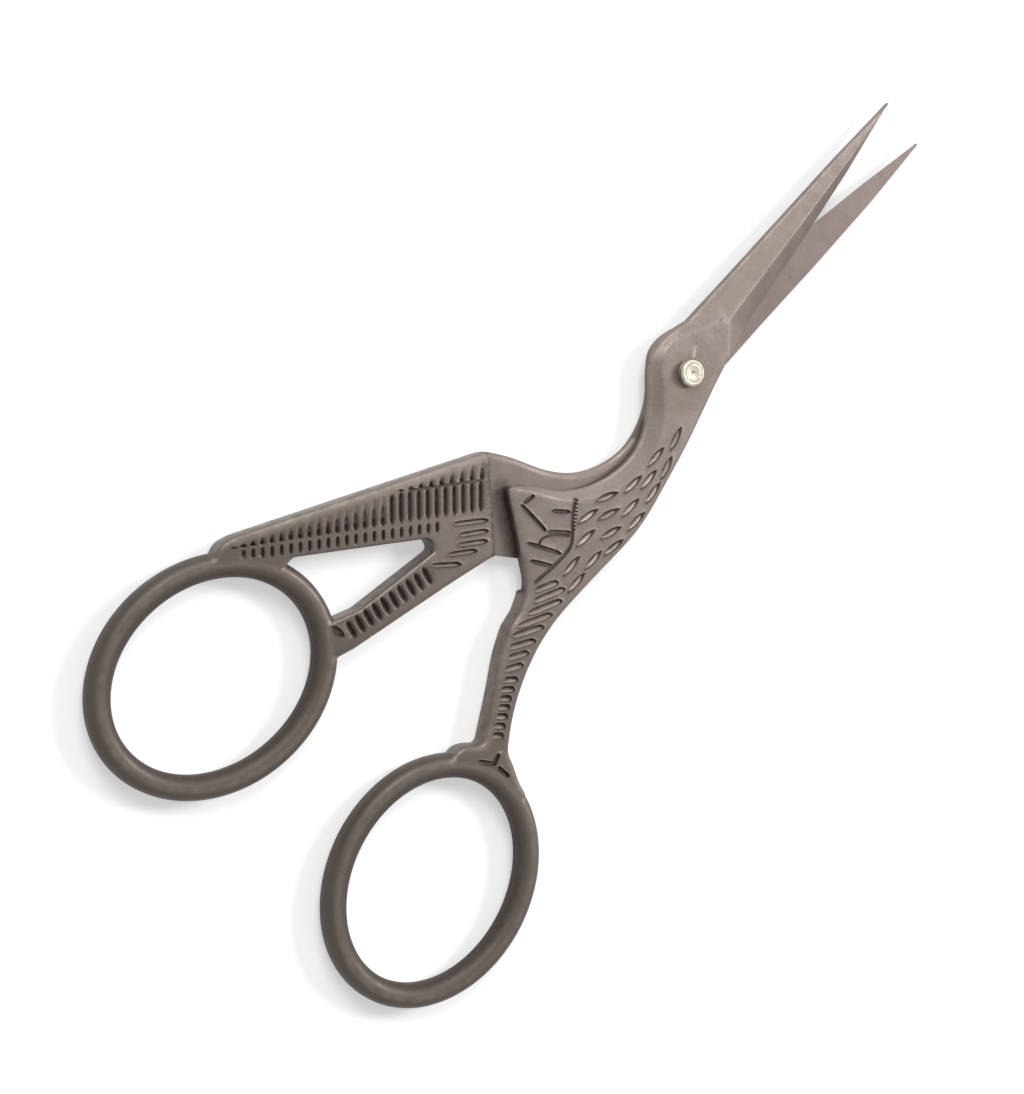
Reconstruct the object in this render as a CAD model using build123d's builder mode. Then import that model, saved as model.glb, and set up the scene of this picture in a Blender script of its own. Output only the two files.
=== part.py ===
from build123d import *
import os

os.makedirs("parts", exist_ok=True)

# Stork embroidery scissors, lying flat on the wing half's outer face.
# +Z is up, the pivot axis is Z, and +X is the middle line between the two blades.
# Both halves are drawn as they lie when the scissors are shut, with x along the shut blades,
# and each is then turned by half the opening about the pivot.

# Driving sizes, in millimetres and degrees
blade_length = 40.5
handle_reach = 46.0
wing_reach_extra = 1.2
half_thickness = 1.5
lap_gap = 0.03
opening = 8.6
thickness = 2 * half_thickness + lap_gap
overrun = 1.0

# Blade, from the heel to the tip
heel_x = 4.4
heel_rise = 3.6
heel_drop = 2.85
ridge_height = 1.4
spine_height = 0.85
edge_land = 0.08
fold_run = 3.1
station_shares = [0, 0.18, 0.46, 0.74, 1]
rise_shares = [1, 0.82, 0.57, 0.32, 0.035]
drop_shares = [1, 0.84, 0.65, 0.40, 0.045]
ridge_shares = [1, 1, 0.93, 0.75, 0.34]

# Finger rings
ring_long = 13.85
ring_short = 11.75
ring_stock = 2.6
ring_turn = 8.0
ring_shut_gap = 0.4
ring_bevel_outer = 0.9
ring_bevel_inner = 1.2
ring_bevel_drop = 0.55
web_angles = [-24, 0, 32]
tail_angles = [66, 35, 5, -33]
window_angles = [-12, 8, 28]

# Pivot
pin_radius = 1.45
pin_clearance = 0.04
pin_proud = 0.8
pin_chamfer = 0.15
head_radius = 2.2
head_recess = 0.12
head_rim = 0.15
slot_width = 0.6
slot_depth = 0.45

# Fit of the two halves when shut
stop_gap = 0.5

# The slope that carries the blade's upper bevel on round the head and down the neck
slope_width = 1.6
slope_width_shares = [0.62, 0.75, 0.9, 1.05, 1.15, 1.1, 1.0, 0.85, 0.65, 0.4]
slope_past_share = 1.2
corner_radius = 0.5

# Outlines of the bird, as shares of the handle reach
chest_shares = [(0.013, -0.078), (-0.12, -0.107), (-0.244, -0.127), (-0.359, -0.139), (-0.472, -0.129)]
waist_share = (-0.59, -0.115)
leg_front_shares = [(-0.665, -0.11), (-0.74, -0.116), (-0.826, -0.138), (-0.904, -0.172)]
leg_back_shares = [(-0.935, -0.12), (-0.874, -0.088), (-0.813, -0.054)]
knee_share = (-0.747, -0.027)
hip_shares = [(-0.704, -0.023), (-0.669, -0.011)]
breast_low_share = (-0.64, 0.008)
breast_top_share = (-0.511, 0.19)
leg_hollow_shares = [(-0.468, 0.141), (-0.433, 0.085), (-0.369, 0.026), (-0.303, -0.004), (-0.235, -0.014)]
leg_nape_shares = [(-0.166, 0.004), (-0.111, 0.04), (-0.068, 0.078), (-0.035, 0.097), (0.01, 0.102)]
wing_hollow_shares = [(-0.468, 0.141), (-0.428, 0.074), (-0.368, 0.009), (-0.296, -0.025), (-0.235, -0.033)]
wing_nape_shares = [(-0.157, -0.012), (-0.102, 0.026), (-0.064, 0.068), (-0.035, 0.094), (0.01, 0.102)]
shoulder_top_share = (-0.515, 0.203)
shoulder_low_share = (-0.659, 0.013)
lap_end_share = (-0.544, -0.12)
strut_share = (-0.78, 0.038)
window_front_shares = [(-0.754, 0.151), (-0.76, 0.122)]

# The same where they meet a finger ring, as shares of its long and short sizes from its centre
leg_foot_share = (1.1, 0.187)
web_front_shares = [(1.07, 0.093), (1.005, -0.052), (0.953, -0.222)]
web_back_shares = [(0.884, 0.597), (0.975, 0.501)]
leg_heel_share = (1.018, 0.428)
wing_tail_shares = [(0.767, 0.792), (0.645, 0.831)]
strut_end_share = (0.905, -0.676)
window_top_share = (0.992, 0.307)
window_low_share = (1.135, -0.449)

# Strokes cut into the outer faces: middle as shares of the handle reach, angle, length
stroke_depth = 0.25
feather_length = 2.85
feather_width = 0.8
rib_width = 0.55
tooth_shoulder_share = 0.6
line_width = 0.4
feather_shares = [
    (-0.141, -0.074, 13), (-0.209, -0.061, -3), (-0.209, -0.1, 13), (-0.297, -0.056, -8),
    (-0.261, -0.081, -2), (-0.277, -0.111, 3), (-0.363, -0.022, -30), (-0.342, -0.087, -6),
    (-0.356, -0.12, -5), (-0.43, -0.013, -17), (-0.391, -0.052, -25), (-0.42, -0.085, -22),
    (-0.441, -0.113, -14), (-0.472, -0.042, -10), (-0.498, -0.091, -5), (-0.544, -0.056, -2),
    (-0.565, -0.091, -4),
]
leg_rib_shares = [
    (-0.62, -0.037, -31, 0.056), (-0.63, -0.056, -30, 0.078), (-0.659, -0.065, -31, 0.086),
    (-0.698, -0.065, -32, 0.086), (-0.728, -0.068, -35, 0.076), (-0.759, -0.076, -36, 0.061),
    (-0.785, -0.085, -36, 0.046), (-0.813, -0.094, -36, 0.039), (-0.839, -0.107, -47, 0.027),
    (-0.861, -0.115, -47, 0.025), (-0.88, -0.124, -50, 0.02), (-0.898, -0.135, -50, 0.02),
    (-0.917, -0.144, -50, 0.02), (-0.937, -0.154, -50, 0.02), (-0.957, -0.165, -50, 0.02),
    (-0.976, -0.178, -50, 0.02), (-0.998, -0.196, 11, 0.017), (-1.02, -0.183, -60, 0.038),
    (-1.01, -0.23, -89, 0.028),
]
wing_bar_shares = [
    (-0.657, 0.113, -35, 0.093), (-0.667, 0.089, -33, 0.078), (-0.683, 0.073, -34, 0.078),
    (-0.717, 0.074, -34, 0.078), (-0.765, 0.08, -39, 0.078),
]
breast_border_shares = [
    (-0.422, 0.037), (-0.452, 0.02), (-0.478, -0.002), (-0.507, -0.022), (-0.541, -0.024), (-0.6, -0.013),
]
breast_bar_shares = [
    (-0.465, 0.048, -53, 0.05), (-0.522, 0.093, -93, 0.093), (-0.504, 0.02, -52, 0.065),
    (-0.546, 0.039, -4, 0.026), (-0.557, 0.026, -66, 0.096), (-0.587, 0.007, -63, 0.067),
]
groove_first_share, groove_last_share = (-1.118, 0.446), (-0.622, 0.111)
tooth_first_share, tooth_last_share = (-0.741, 0.28), (-0.572, 0.165)
strut_first_share, strut_last_share = (-1.033, 0.102), (-0.819, 0.069)
groove_count, groove_growing, bead_count = 28, 19, 22
tooth_count, strut_count = 9, 10
groove_angle, strut_angle = 50, 80
groove_width, groove_height = 0.6, 3.3
tooth_height, strut_height = 1.8, 1.6
bead_drop, bead_length, bead_gap = 0.6, 0.7, 0.4


def place(share):
    """Turns one outline share into a point in millimetres."""
    return Vector(share[0] * handle_reach, share[1] * handle_reach)


def places(shares):
    return [place(share) for share in shares]


def by_ring(centre, *shares):
    """Places given from the centre of a finger ring, so that they follow the ring's size."""
    return [centre + Vector(share[0] * ring_long, share[1] * ring_short) for share in shares]


def between(start, end, share):
    return start + (end - start) * share


# Planes: x and y as drawn shut, z up, at each half's inner face
half_turn = opening / 2
leg_plane = Plane(
    origin=(0, 0, half_thickness + lap_gap),
    x_dir=Vector(1, 0, 0).rotate(Axis.Z, half_turn),
    z_dir=(0, 0, 1),
)
wing_plane = Plane(
    origin=(0, 0, half_thickness),
    x_dir=Vector(1, 0, 0).rotate(Axis.Z, -half_turn),
    z_dir=(0, 0, 1),
)
leg_base = leg_plane.offset(-half_thickness - lap_gap)
wing_base = wing_plane.offset(-half_thickness)

# Ring centres: the rings lie side by side when shut, with a small gap between them
long_rise = Vector(ring_long, 0).rotate(Axis.Z, ring_turn).Y
short_rise = Vector(0, ring_short).rotate(Axis.Z, ring_turn).Y
ring_y = (long_rise**2 + short_rise**2) ** 0.5 + ring_shut_gap / 2
leg_ring = Vector(-handle_reach - ring_long, -ring_y)
wing_ring = Vector(-handle_reach - ring_long - wing_reach_extra, ring_y)

# Stations along a blade: its bevels start at the fold, which slants back from the ridge to the rims
rim_stations = [between(heel_x, blade_length, share) for share in station_shares]
root_stations = [heel_x + fold_run] + rim_stations[1:]

# The line where the lapped part of the wing half ends, and the step of the leg a little beyond it
shoulder_low, lap_end = place(shoulder_low_share), place(lap_end_share)
step_run = (lap_end - shoulder_low).normalized()
step_out = step_run.rotate(Axis.Z, -90)


def ring_point(centre, turn, angle):
    """A point on the middle line of a ring's stock, at an angle round the ring."""
    unit = Vector(1, 0).rotate(Axis.Z, angle)
    long_way, short_way = ring_long - ring_stock / 2, ring_short - ring_stock / 2
    return centre + Vector(unit.X * long_way, unit.Y * short_way).rotate(Axis.Z, turn)


def finger_ring(base, centre, turn):
    """An oval ring whose stock has a crest on each face, between an outer and an inner bevel."""
    with BuildSketch(base) as stock:
        with Locations(centre):
            Ellipse(ring_long, ring_short, rotation=turn)
            Ellipse(ring_long - ring_stock, ring_short - ring_stock, rotation=turn, mode=Mode.SUBTRACT)
    extrude(stock.sketch, amount=thickness)
    for end in (0, -1):
        face = faces().sort_by(Axis.Z)[end]
        chamfer(face.outer_wire().edges(), ring_bevel_outer, ring_bevel_drop, reference=face)
        face = faces().sort_by(Axis.Z)[end]
        chamfer(face.inner_wires()[0].edges(), ring_bevel_inner, ring_bevel_drop, reference=face)


def flank(plane, side, rims, root_heights, rim_heights):
    """One bevel of a blade: four-cornered sections from the middle line out to the rim."""
    sections = []
    for root_x, rim_x, rim_y, root_height, rim_height in zip(
        root_stations, rim_stations, rims, root_heights, rim_heights
    ):
        root = plane.from_local_coords(Vector(root_x, 0, 0))
        rim = plane.from_local_coords(Vector(rim_x, rim_y, 0))
        across = rim - root
        up = plane.z_dir * side
        with BuildSketch(Plane(origin=root, x_dir=across, z_dir=across.cross(up))) as section:
            with BuildLine():
                Polyline(
                    (0, 0),
                    (across.length, 0),
                    (across.length, rim_height),
                    (0, root_height),
                    close=True,
                )
            make_face()
        sections.append(section.sketch)
    loft(sections, ruled=True)


def blade(plane, side):
    """A tapering blade: flat inside, and outside a ridge between the cutting bevel and the spine bevel."""
    rises = [heel_rise * share for share in rise_shares]
    drops = [-heel_drop * share for share in drop_shares]
    cutting, spine = (drops, rises) if side > 0 else (rises, drops)
    ridges = [half_thickness] + [ridge_height * share for share in ridge_shares[1:]]
    flank(plane, side, cutting, ridges, [half_thickness] + [edge_land] * len(ridges[1:]))
    flank(plane, side, spine, ridges, [spine_height * share for share in ridge_shares])


def head_edge(top_point, hollow_shares, nape_shares):
    """From the top of the breast or wing along the hollow of the neck, over the head and round the fold."""
    Spline(top_point, *places(hollow_shares), *places(nape_shares), (heel_x, heel_rise))
    Polyline((heel_x, heel_rise), (heel_x + fold_run, 0), (heel_x, -heel_drop))


def slope_section(plane, curve, far_first, far_last):
    with BuildSketch(plane) as section:
        with BuildLine():
            Line(curve[0], curve[1])
            Spline(*curve[1:])
            Polyline(curve[-1], far_last, far_first, curve[0])
        make_face()
    return section.sketch


def cut_slope(plane, side, top_point, hollow_shares, nape_shares):
    """Grinds the slope along the head and neck, from its crest down to the rim."""
    rim = [Vector(heel_x, heel_rise), *places(nape_shares[::-1] + hollow_shares[::-1]), top_point]
    crest = [Vector(heel_x + fold_run, 0)]
    for before, point, after, share in zip(rim, rim[1:], rim[2:], slope_width_shares):
        inward = (after - before).normalized().rotate(Axis.Z, 90)
        crest.append(point + inward * (slope_width * share))
    crest.append(top_point)
    past = [between(high, low, slope_past_share) for high, low in zip(crest, rim)]
    slope_drop = between(half_thickness, spine_height, slope_past_share)
    far_first = rim[0] * 2 - crest[0]
    far_last = top_point + Vector(0, heel_rise)
    top = slope_section(plane.offset(side * half_thickness), crest, far_first, far_last)
    low = slope_section(plane.offset(side * slope_drop), past, far_first, far_last)
    loft([top, low], ruled=True, mode=Mode.SUBTRACT)


def leg_outline():
    """The leg half: down the breast and the leg, round the web at the ring, and up to the head."""
    leg_foot, *web_front = by_ring(leg_ring, leg_foot_share, *web_front_shares)
    *web_back, leg_heel = by_ring(leg_ring, *web_back_shares, leg_heel_share)
    Spline((heel_x, -heel_drop), *places(chest_shares + [waist_share] + leg_front_shares), leg_foot)
    Polyline(
        leg_foot,
        *web_front,
        *[ring_point(leg_ring, ring_turn, angle) for angle in web_angles],
        *web_back,
        leg_heel,
    )
    Spline(leg_heel, *places(leg_back_shares), place(knee_share))
    Polyline(*places([knee_share] + hip_shares + [breast_low_share, breast_top_share]))
    head_edge(place(breast_top_share), leg_hollow_shares, leg_nape_shares)


def lap_outline():
    """The wing half's thin part, which lies behind the neck and breast."""
    Spline((heel_x, -heel_drop), *places(chest_shares), place(waist_share))
    Polyline(*places([waist_share, shoulder_low_share, shoulder_top_share]))
    head_edge(place(shoulder_top_share), wing_hollow_shares, wing_nape_shares)


def wing_outline():
    """The full-thickness wing: up the shoulder, along the top to the tail, and back along the strut."""
    Polyline(
        *places([shoulder_low_share, shoulder_top_share]),
        *by_ring(wing_ring, *wing_tail_shares),
        *[ring_point(wing_ring, -ring_turn, angle) for angle in tail_angles],
        *by_ring(wing_ring, strut_end_share),
        place(strut_share),
        close=True,
    )


def window_outline():
    """The open triangle between the wing's two struts and the ring."""
    FilletPolyline(
        *by_ring(wing_ring, window_top_share),
        *places(window_front_shares),
        *by_ring(wing_ring, window_low_share),
        *[ring_point(wing_ring, -ring_turn, angle) for angle in window_angles],
        radius=corner_radius,
        close=True,
    )


def beyond(distance, side):
    """Everything to one side of the line where the lap ends."""
    start = shoulder_low - step_run * handle_reach + step_out * distance
    end = lap_end + step_run * handle_reach + step_out * distance
    away = step_out * (side * handle_reach)
    Polyline(start, end, end + away, start + away, close=True)


def bars(shares, width):
    """Straight strokes from a table of middle, angle and length."""
    for x_share, y_share, angle, length_share in shares:
        with Locations(place((x_share, y_share))):
            Rectangle(length_share * handle_reach, width, rotation=angle)


def teeth(first_share, last_share, heights, angle):
    """A row of pointed strokes that stand side by side on the line between two places."""
    first, last = place(first_share), place(last_share)
    half_width = groove_width / 2
    for index, height in enumerate(heights):
        foot = between(first, last, index / (len(heights) - 1))
        along = Vector(height, 0).rotate(Axis.Z, angle)
        aside = Vector(0, half_width).rotate(Axis.Z, angle)
        shoulder = foot + along * tooth_shoulder_share
        Polygon(foot - aside, shoulder - aside, foot + along, shoulder + aside, foot + aside, align=None)


def neck_strokes(plane):
    """Feathers on the neck and chest."""
    with BuildSketch() as feather:
        with BuildLine():
            for side in (1, -1):
                ends = feather_length / 2
                ThreePointArc((-ends, 0), (0, side * feather_width / 2), (ends, 0))
        make_face()
    with BuildSketch(plane) as strokes:
        for x_share, y_share, angle in feather_shares:
            with Locations(place((x_share, y_share))):
                add(feather.sketch, rotation=angle)
    return strokes.sketch


def breast_strokes(plane):
    """The breast's border line, and the bars cut across the breast."""
    points = places(breast_border_shares)
    with BuildSketch(plane) as strokes:
        for start, end in zip(points, points[1:]):
            span = end - start
            angle = Vector(1, 0).get_signed_angle(span)
            with Locations((start + end) / 2):
                SlotCenterToCenter(span.length, line_width, rotation=angle)
        bars(breast_bar_shares, line_width)
    return strokes.sketch


def leg_strokes(plane):
    with BuildSketch(plane) as strokes:
        bars(leg_rib_shares, rib_width)
    return strokes.sketch


def wing_strokes(plane):
    """The wing's long feathers with beads at their feet, the short ones above, the strut's and the bars."""
    long_heights = [groove_height * min(1, (index + 1) / groove_growing) for index in range(groove_count)]
    short_heights = [tooth_height * (index + 1) / tooth_count for index in range(tooth_count)]
    with BuildSketch(plane) as strokes:
        teeth(groove_first_share, groove_last_share, long_heights, groove_angle)
        teeth(tooth_first_share, tooth_last_share, short_heights, groove_angle)
        teeth(strut_first_share, strut_last_share, [strut_height] * strut_count, strut_angle)
        first, last = place(groove_first_share), place(groove_last_share)
        below = Vector(bead_drop, 0).rotate(Axis.Z, groove_angle)
        for index in range(bead_count):
            with Locations(between(first, last, index / (groove_count - 1)) - below):
                Rectangle(bead_length, bead_gap, rotation=groove_angle)
        bars(wing_bar_shares, rib_width)
    return strokes.sketch


def screw_profile(clearance, head_end, tail_end):
    """Half the outline of the pivot screw, from its countersunk head up to its tail."""
    head, shank = head_radius + clearance, pin_radius + clearance
    cone_start = head_recess + head_rim
    Polyline(
        (0, head_end),
        (head, head_end),
        (head, cone_start),
        (shank, cone_start + head - shank),
        (shank, tail_end),
        (0, tail_end),
        close=True,
    )


with BuildPart() as leg_half:
    finger_ring(leg_base, leg_ring, ring_turn)
    blade(leg_plane, 1)
    with BuildSketch(leg_plane):
        with BuildLine():
            leg_outline()
        make_face()
    extrude(amount=half_thickness)
    with BuildSketch(leg_base):
        with BuildLine():
            leg_outline()
        make_face()
        with BuildLine():
            beyond(stop_gap, 1)
        make_face(mode=Mode.INTERSECT)
    extrude(amount=thickness - half_thickness / 2)
    cut_slope(leg_plane, 1, place(breast_top_share), leg_hollow_shares, leg_nape_shares)
    outer_face = leg_plane.offset(half_thickness)
    for strokes in (neck_strokes(outer_face), breast_strokes(outer_face), leg_strokes(outer_face)):
        extrude(strokes, amount=-stroke_depth, mode=Mode.SUBTRACT)
    extrude(leg_strokes(leg_base), amount=stroke_depth, mode=Mode.SUBTRACT)
    with BuildSketch(leg_plane):
        Circle(pin_radius)
    extrude(amount=half_thickness, mode=Mode.SUBTRACT)

with BuildPart() as wing_half:
    finger_ring(wing_base, wing_ring, -ring_turn)
    blade(wing_plane, -1)
    with BuildSketch(wing_base):
        with BuildLine():
            lap_outline()
        make_face()
        with BuildLine():
            beyond(0, -1)
        make_face(mode=Mode.INTERSECT)
    extrude(amount=half_thickness)
    with BuildSketch(wing_base):
        with BuildLine():
            wing_outline()
        make_face()
        with BuildLine():
            window_outline()
        make_face(mode=Mode.SUBTRACT)
    extrude(amount=thickness)
    cut_slope(wing_plane, -1, place(shoulder_top_share), wing_hollow_shares, wing_nape_shares)
    extrude(wing_strokes(wing_base.offset(thickness)), amount=-stroke_depth, mode=Mode.SUBTRACT)
    for strokes in (wing_strokes(wing_base), neck_strokes(wing_base)):
        extrude(strokes, amount=stroke_depth, mode=Mode.SUBTRACT)
    with BuildSketch(Plane.XZ):
        with BuildLine():
            screw_profile(pin_clearance, -overrun, thickness)
        make_face()
    revolve(axis=Axis.Z, mode=Mode.SUBTRACT)

with BuildPart() as pivot_screw:
    with BuildSketch(Plane.XZ):
        with BuildLine():
            screw_profile(0, head_recess, thickness + pin_proud)
        make_face()
    revolve(axis=Axis.Z)
    tail_edge = pivot_screw.edges().sort_by(Axis.Z)[-1]
    chamfer(tail_edge, pin_chamfer)
    with BuildSketch(Plane.XY.offset(head_recess)):
        Rectangle(slot_width, 2 * head_radius + overrun)
    extrude(amount=slot_depth, mode=Mode.SUBTRACT)

for piece, name in [(leg_half, "leg_half"), (wing_half, "wing_half"), (pivot_screw, "pivot_screw")]:
    piece.part.label = name
    export_step(piece.part, f"parts/{name}.step")
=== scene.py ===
import math

import bmesh
import bpy
import numpy as np
from mathutils import Matrix, Vector
from mathutils.geometry import delaunay_2d_cdt


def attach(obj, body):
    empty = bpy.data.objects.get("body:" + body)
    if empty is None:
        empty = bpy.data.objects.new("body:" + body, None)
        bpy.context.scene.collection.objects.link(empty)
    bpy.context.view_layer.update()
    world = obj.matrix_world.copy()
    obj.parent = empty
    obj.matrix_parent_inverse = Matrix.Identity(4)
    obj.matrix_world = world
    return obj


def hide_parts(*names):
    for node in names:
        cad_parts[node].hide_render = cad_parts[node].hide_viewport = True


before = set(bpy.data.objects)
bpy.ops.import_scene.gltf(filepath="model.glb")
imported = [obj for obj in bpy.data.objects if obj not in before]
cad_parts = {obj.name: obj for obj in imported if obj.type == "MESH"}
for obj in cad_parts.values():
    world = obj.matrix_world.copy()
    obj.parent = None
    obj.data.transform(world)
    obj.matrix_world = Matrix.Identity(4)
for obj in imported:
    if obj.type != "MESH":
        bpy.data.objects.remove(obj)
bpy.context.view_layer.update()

# Stork embroidery scissors lying on the wing half's outer face, in metres.
# The halves are worked out in millimetres, each as it lies when shut: x along the blades towards
# the tips, y across them, and z out of the joint towards the half's own outer face.
MM = 0.001

# Sizes shared with the construction
BLADE_LENGTH = 40.5
HANDLE_REACH = 46.0
WING_REACH_EXTRA = 1.2
HALF_THICKNESS = 1.5
LAP_GAP = 0.03
OPENING = 8.6
HEEL_X, HEEL_RISE, HEEL_DROP = 4.4, 3.6, 2.85
HEEL_LOW = (HEEL_X, -HEEL_DROP)
RIDGE_HEIGHT, SPINE_HEIGHT, EDGE_LAND = 1.4, 0.85, 0.08
FOLD_RUN = 3.1
RING_LONG, RING_SHORT, RING_STOCK = 13.85, 11.75, 2.6
RING_TURN = 8.0
RING_SHUT_GAP = 0.4
STOP_GAP = 0.5
PIN_RADIUS, PIN_PROUD = 1.45, 0.8
HEAD_RADIUS, HEAD_RECESS, HEAD_RIM = 2.2, 0.12, 0.15
PIN_CLEARANCE = 0.04
SLOT_WIDTH, SLOT_DEPTH = 0.6, 0.45
SLOPE_WIDTH = 1.6
THICKNESS = 2 * HALF_THICKNESS + LAP_GAP

STATION_SHARES = [0, 0.18, 0.46, 0.74, 1]
RISE_SHARES = [1, 0.82, 0.57, 0.32, 0.035]
DROP_SHARES = [1, 0.84, 0.65, 0.40, 0.045]
RIDGE_SHARES = [1, 1, 0.93, 0.75, 0.34]
SLOPE_WIDTH_SHARES = [0.62, 0.75, 0.9, 1.05, 1.15, 1.1, 1.0, 0.85, 0.65, 0.4]

# Outlines of the bird, as shares of the handle reach
CHEST_SHARES = [(0.013, -0.078), (-0.12, -0.107), (-0.244, -0.127), (-0.359, -0.139), (-0.472, -0.129)]
WAIST_SHARE = (-0.59, -0.115)
LEG_FRONT_SHARES = [(-0.665, -0.11), (-0.74, -0.116), (-0.826, -0.138), (-0.904, -0.172)]
LEG_BACK_SHARES = [(-0.935, -0.12), (-0.874, -0.088), (-0.813, -0.054)]
KNEE_SHARE = (-0.747, -0.027)
HIP_SHARES = [(-0.704, -0.023), (-0.669, -0.011)]
BREAST_LOW_SHARE = (-0.64, 0.008)
BREAST_TOP_SHARE = (-0.511, 0.19)
LEG_HOLLOW_SHARES = [(-0.468, 0.141), (-0.433, 0.085), (-0.369, 0.026), (-0.303, -0.004), (-0.235, -0.014)]
LEG_NAPE_SHARES = [(-0.166, 0.004), (-0.111, 0.04), (-0.068, 0.078), (-0.035, 0.097), (0.01, 0.102)]
WING_HOLLOW_SHARES = [(-0.468, 0.141), (-0.428, 0.074), (-0.368, 0.009), (-0.296, -0.025), (-0.235, -0.033)]
WING_NAPE_SHARES = [(-0.157, -0.012), (-0.102, 0.026), (-0.064, 0.068), (-0.035, 0.094), (0.01, 0.102)]
SHOULDER_TOP_SHARE = (-0.515, 0.203)
SHOULDER_LOW_SHARE = (-0.659, 0.013)
LAP_END_SHARE = (-0.544, -0.12)
STRUT_SHARE = (-0.78, 0.038)
WINDOW_FRONT_SHARES = [(-0.754, 0.151), (-0.76, 0.122)]

# Where they meet a finger ring, as shares of its long and short sizes from its centre
LEG_FOOT_SHARE = (1.1, 0.187)
WEB_FRONT_SHARES = [(1.07, 0.093), (1.005, -0.052), (0.953, -0.222)]
WEB_BACK_SHARES = [(0.884, 0.597), (0.975, 0.501)]
LEG_HEEL_SHARE = (1.018, 0.428)
WING_TAIL_SHARES = [(0.767, 0.792), (0.645, 0.831)]
STRUT_END_SHARE = (0.905, -0.676)
WINDOW_TOP_SHARE = (0.992, 0.307)
WINDOW_LOW_SHARE = (1.135, -0.449)
WEB_ANGLES = [-24, 0, 32]
TAIL_ANGLES = [66, 35, 5, -33]
WINDOW_ANGLES = [-12, 8, 28]

# Strokes: middle as shares of the handle reach, angle, and a length share where it differs
FEATHER_SHARES = [
    (-0.141, -0.074, 13), (-0.209, -0.061, -3), (-0.209, -0.1, 13), (-0.297, -0.056, -8),
    (-0.261, -0.081, -2), (-0.277, -0.111, 3), (-0.363, -0.022, -30), (-0.342, -0.087, -6),
    (-0.356, -0.12, -5), (-0.43, -0.013, -17), (-0.391, -0.052, -25), (-0.42, -0.085, -22),
    (-0.441, -0.113, -14), (-0.472, -0.042, -10), (-0.498, -0.091, -5), (-0.544, -0.056, -2),
    (-0.565, -0.091, -4),
]
LEG_RIB_SHARES = [
    (-0.62, -0.037, -31, 0.056), (-0.63, -0.056, -30, 0.078), (-0.659, -0.065, -31, 0.086),
    (-0.698, -0.065, -32, 0.086), (-0.728, -0.068, -35, 0.076), (-0.759, -0.076, -36, 0.061),
    (-0.785, -0.085, -36, 0.046), (-0.813, -0.094, -36, 0.039), (-0.839, -0.107, -47, 0.027),
    (-0.861, -0.115, -47, 0.025), (-0.88, -0.124, -50, 0.02), (-0.898, -0.135, -50, 0.02),
    (-0.917, -0.144, -50, 0.02), (-0.937, -0.154, -50, 0.02), (-0.957, -0.165, -50, 0.02),
]
WING_BAR_SHARES = [
    (-0.657, 0.113, -35, 0.093), (-0.667, 0.089, -33, 0.078), (-0.683, 0.073, -34, 0.078),
    (-0.717, 0.074, -34, 0.078), (-0.765, 0.08, -39, 0.078),
]
BREAST_BAR_SHARES = [
    (-0.465, 0.048, -53, 0.05), (-0.522, 0.093, -93, 0.093), (-0.504, 0.02, -52, 0.065),
    (-0.557, 0.026, -66, 0.096), (-0.587, 0.007, -63, 0.067), (-0.497, 0.13, -16, 0.034),
]
BREAST_CURVE_SHARES = [(-0.492, -0.009), (-0.53, 0.0375), (-0.547, 0.0455), (-0.561, 0.0415)]
BORDER_SHARES = [
    (-0.422, 0.037), (-0.452, 0.02), (-0.478, -0.002), (-0.507, -0.022), (-0.541, -0.024),
    (-0.585, -0.017), (-0.63, -0.007),
]
RING_MARK_SHARES = [
    (-0.998, -0.196, 11, 0.017), (-1.02, -0.183, -60, 0.038), (-1.01, -0.23, -89, 0.028),
]
WING_NOTCH_SHARES = [(-1.057, 0.146, -76, 0.043)]
GROOVE_ENDS = [(-1.118, 0.446), (-0.622, 0.111)]
TOOTH_ENDS = [(-0.741, 0.28), (-0.572, 0.165)]
STRUT_ENDS = [(-1.033, 0.102), (-0.819, 0.069)]
GROOVE_COUNT, GROOVE_GROWING, TOOTH_COUNT, STRUT_COUNT = 28, 19, 9, 10
GROOVE_ANGLE, STRUT_ANGLE = 50, 80
GROOVE_HEIGHT, TOOTH_HEIGHT, STRUT_HEIGHT, POINTED_MORE = 3.4, 2.1, 2.2, 1.14
FEATHER_LENGTH, FEATHER_WIDTH = 3.1, 0.8
BREAST_WIDTH, BORDER_WIDTH, RIB_WIDTH, BAR_WIDTH = 0.46, 0.42, 0.8, 0.58
BREAST_DEPTH, RIB_MORE, MARK_WIDTH, LINE_WIDTH, LINE_DEPTH = 0.26, 0.5, 0.5, 0.26, 0.12
TICK_COUNT, TICK_ANGLE, TICK_LENGTH, TICK_WIDTH = 9, -50, 0.42, 0.16
GROOVE_WIDTH, POINTED_COUNT, PANEL_GAP, STRUT_WIDTH = 0.98, 17, 0.95, 1.0
BEAD_COUNT, BEAD_DROP, BEAD_LENGTH, BEAD_GAP = 23, 1.45, 1.25, 0.6
GROOVE_DEPTH, BEAD_DEPTH, FINE_DEPTH, FEATHER_DEPTH = 0.52, 0.42, 0.2, 0.36

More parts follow.
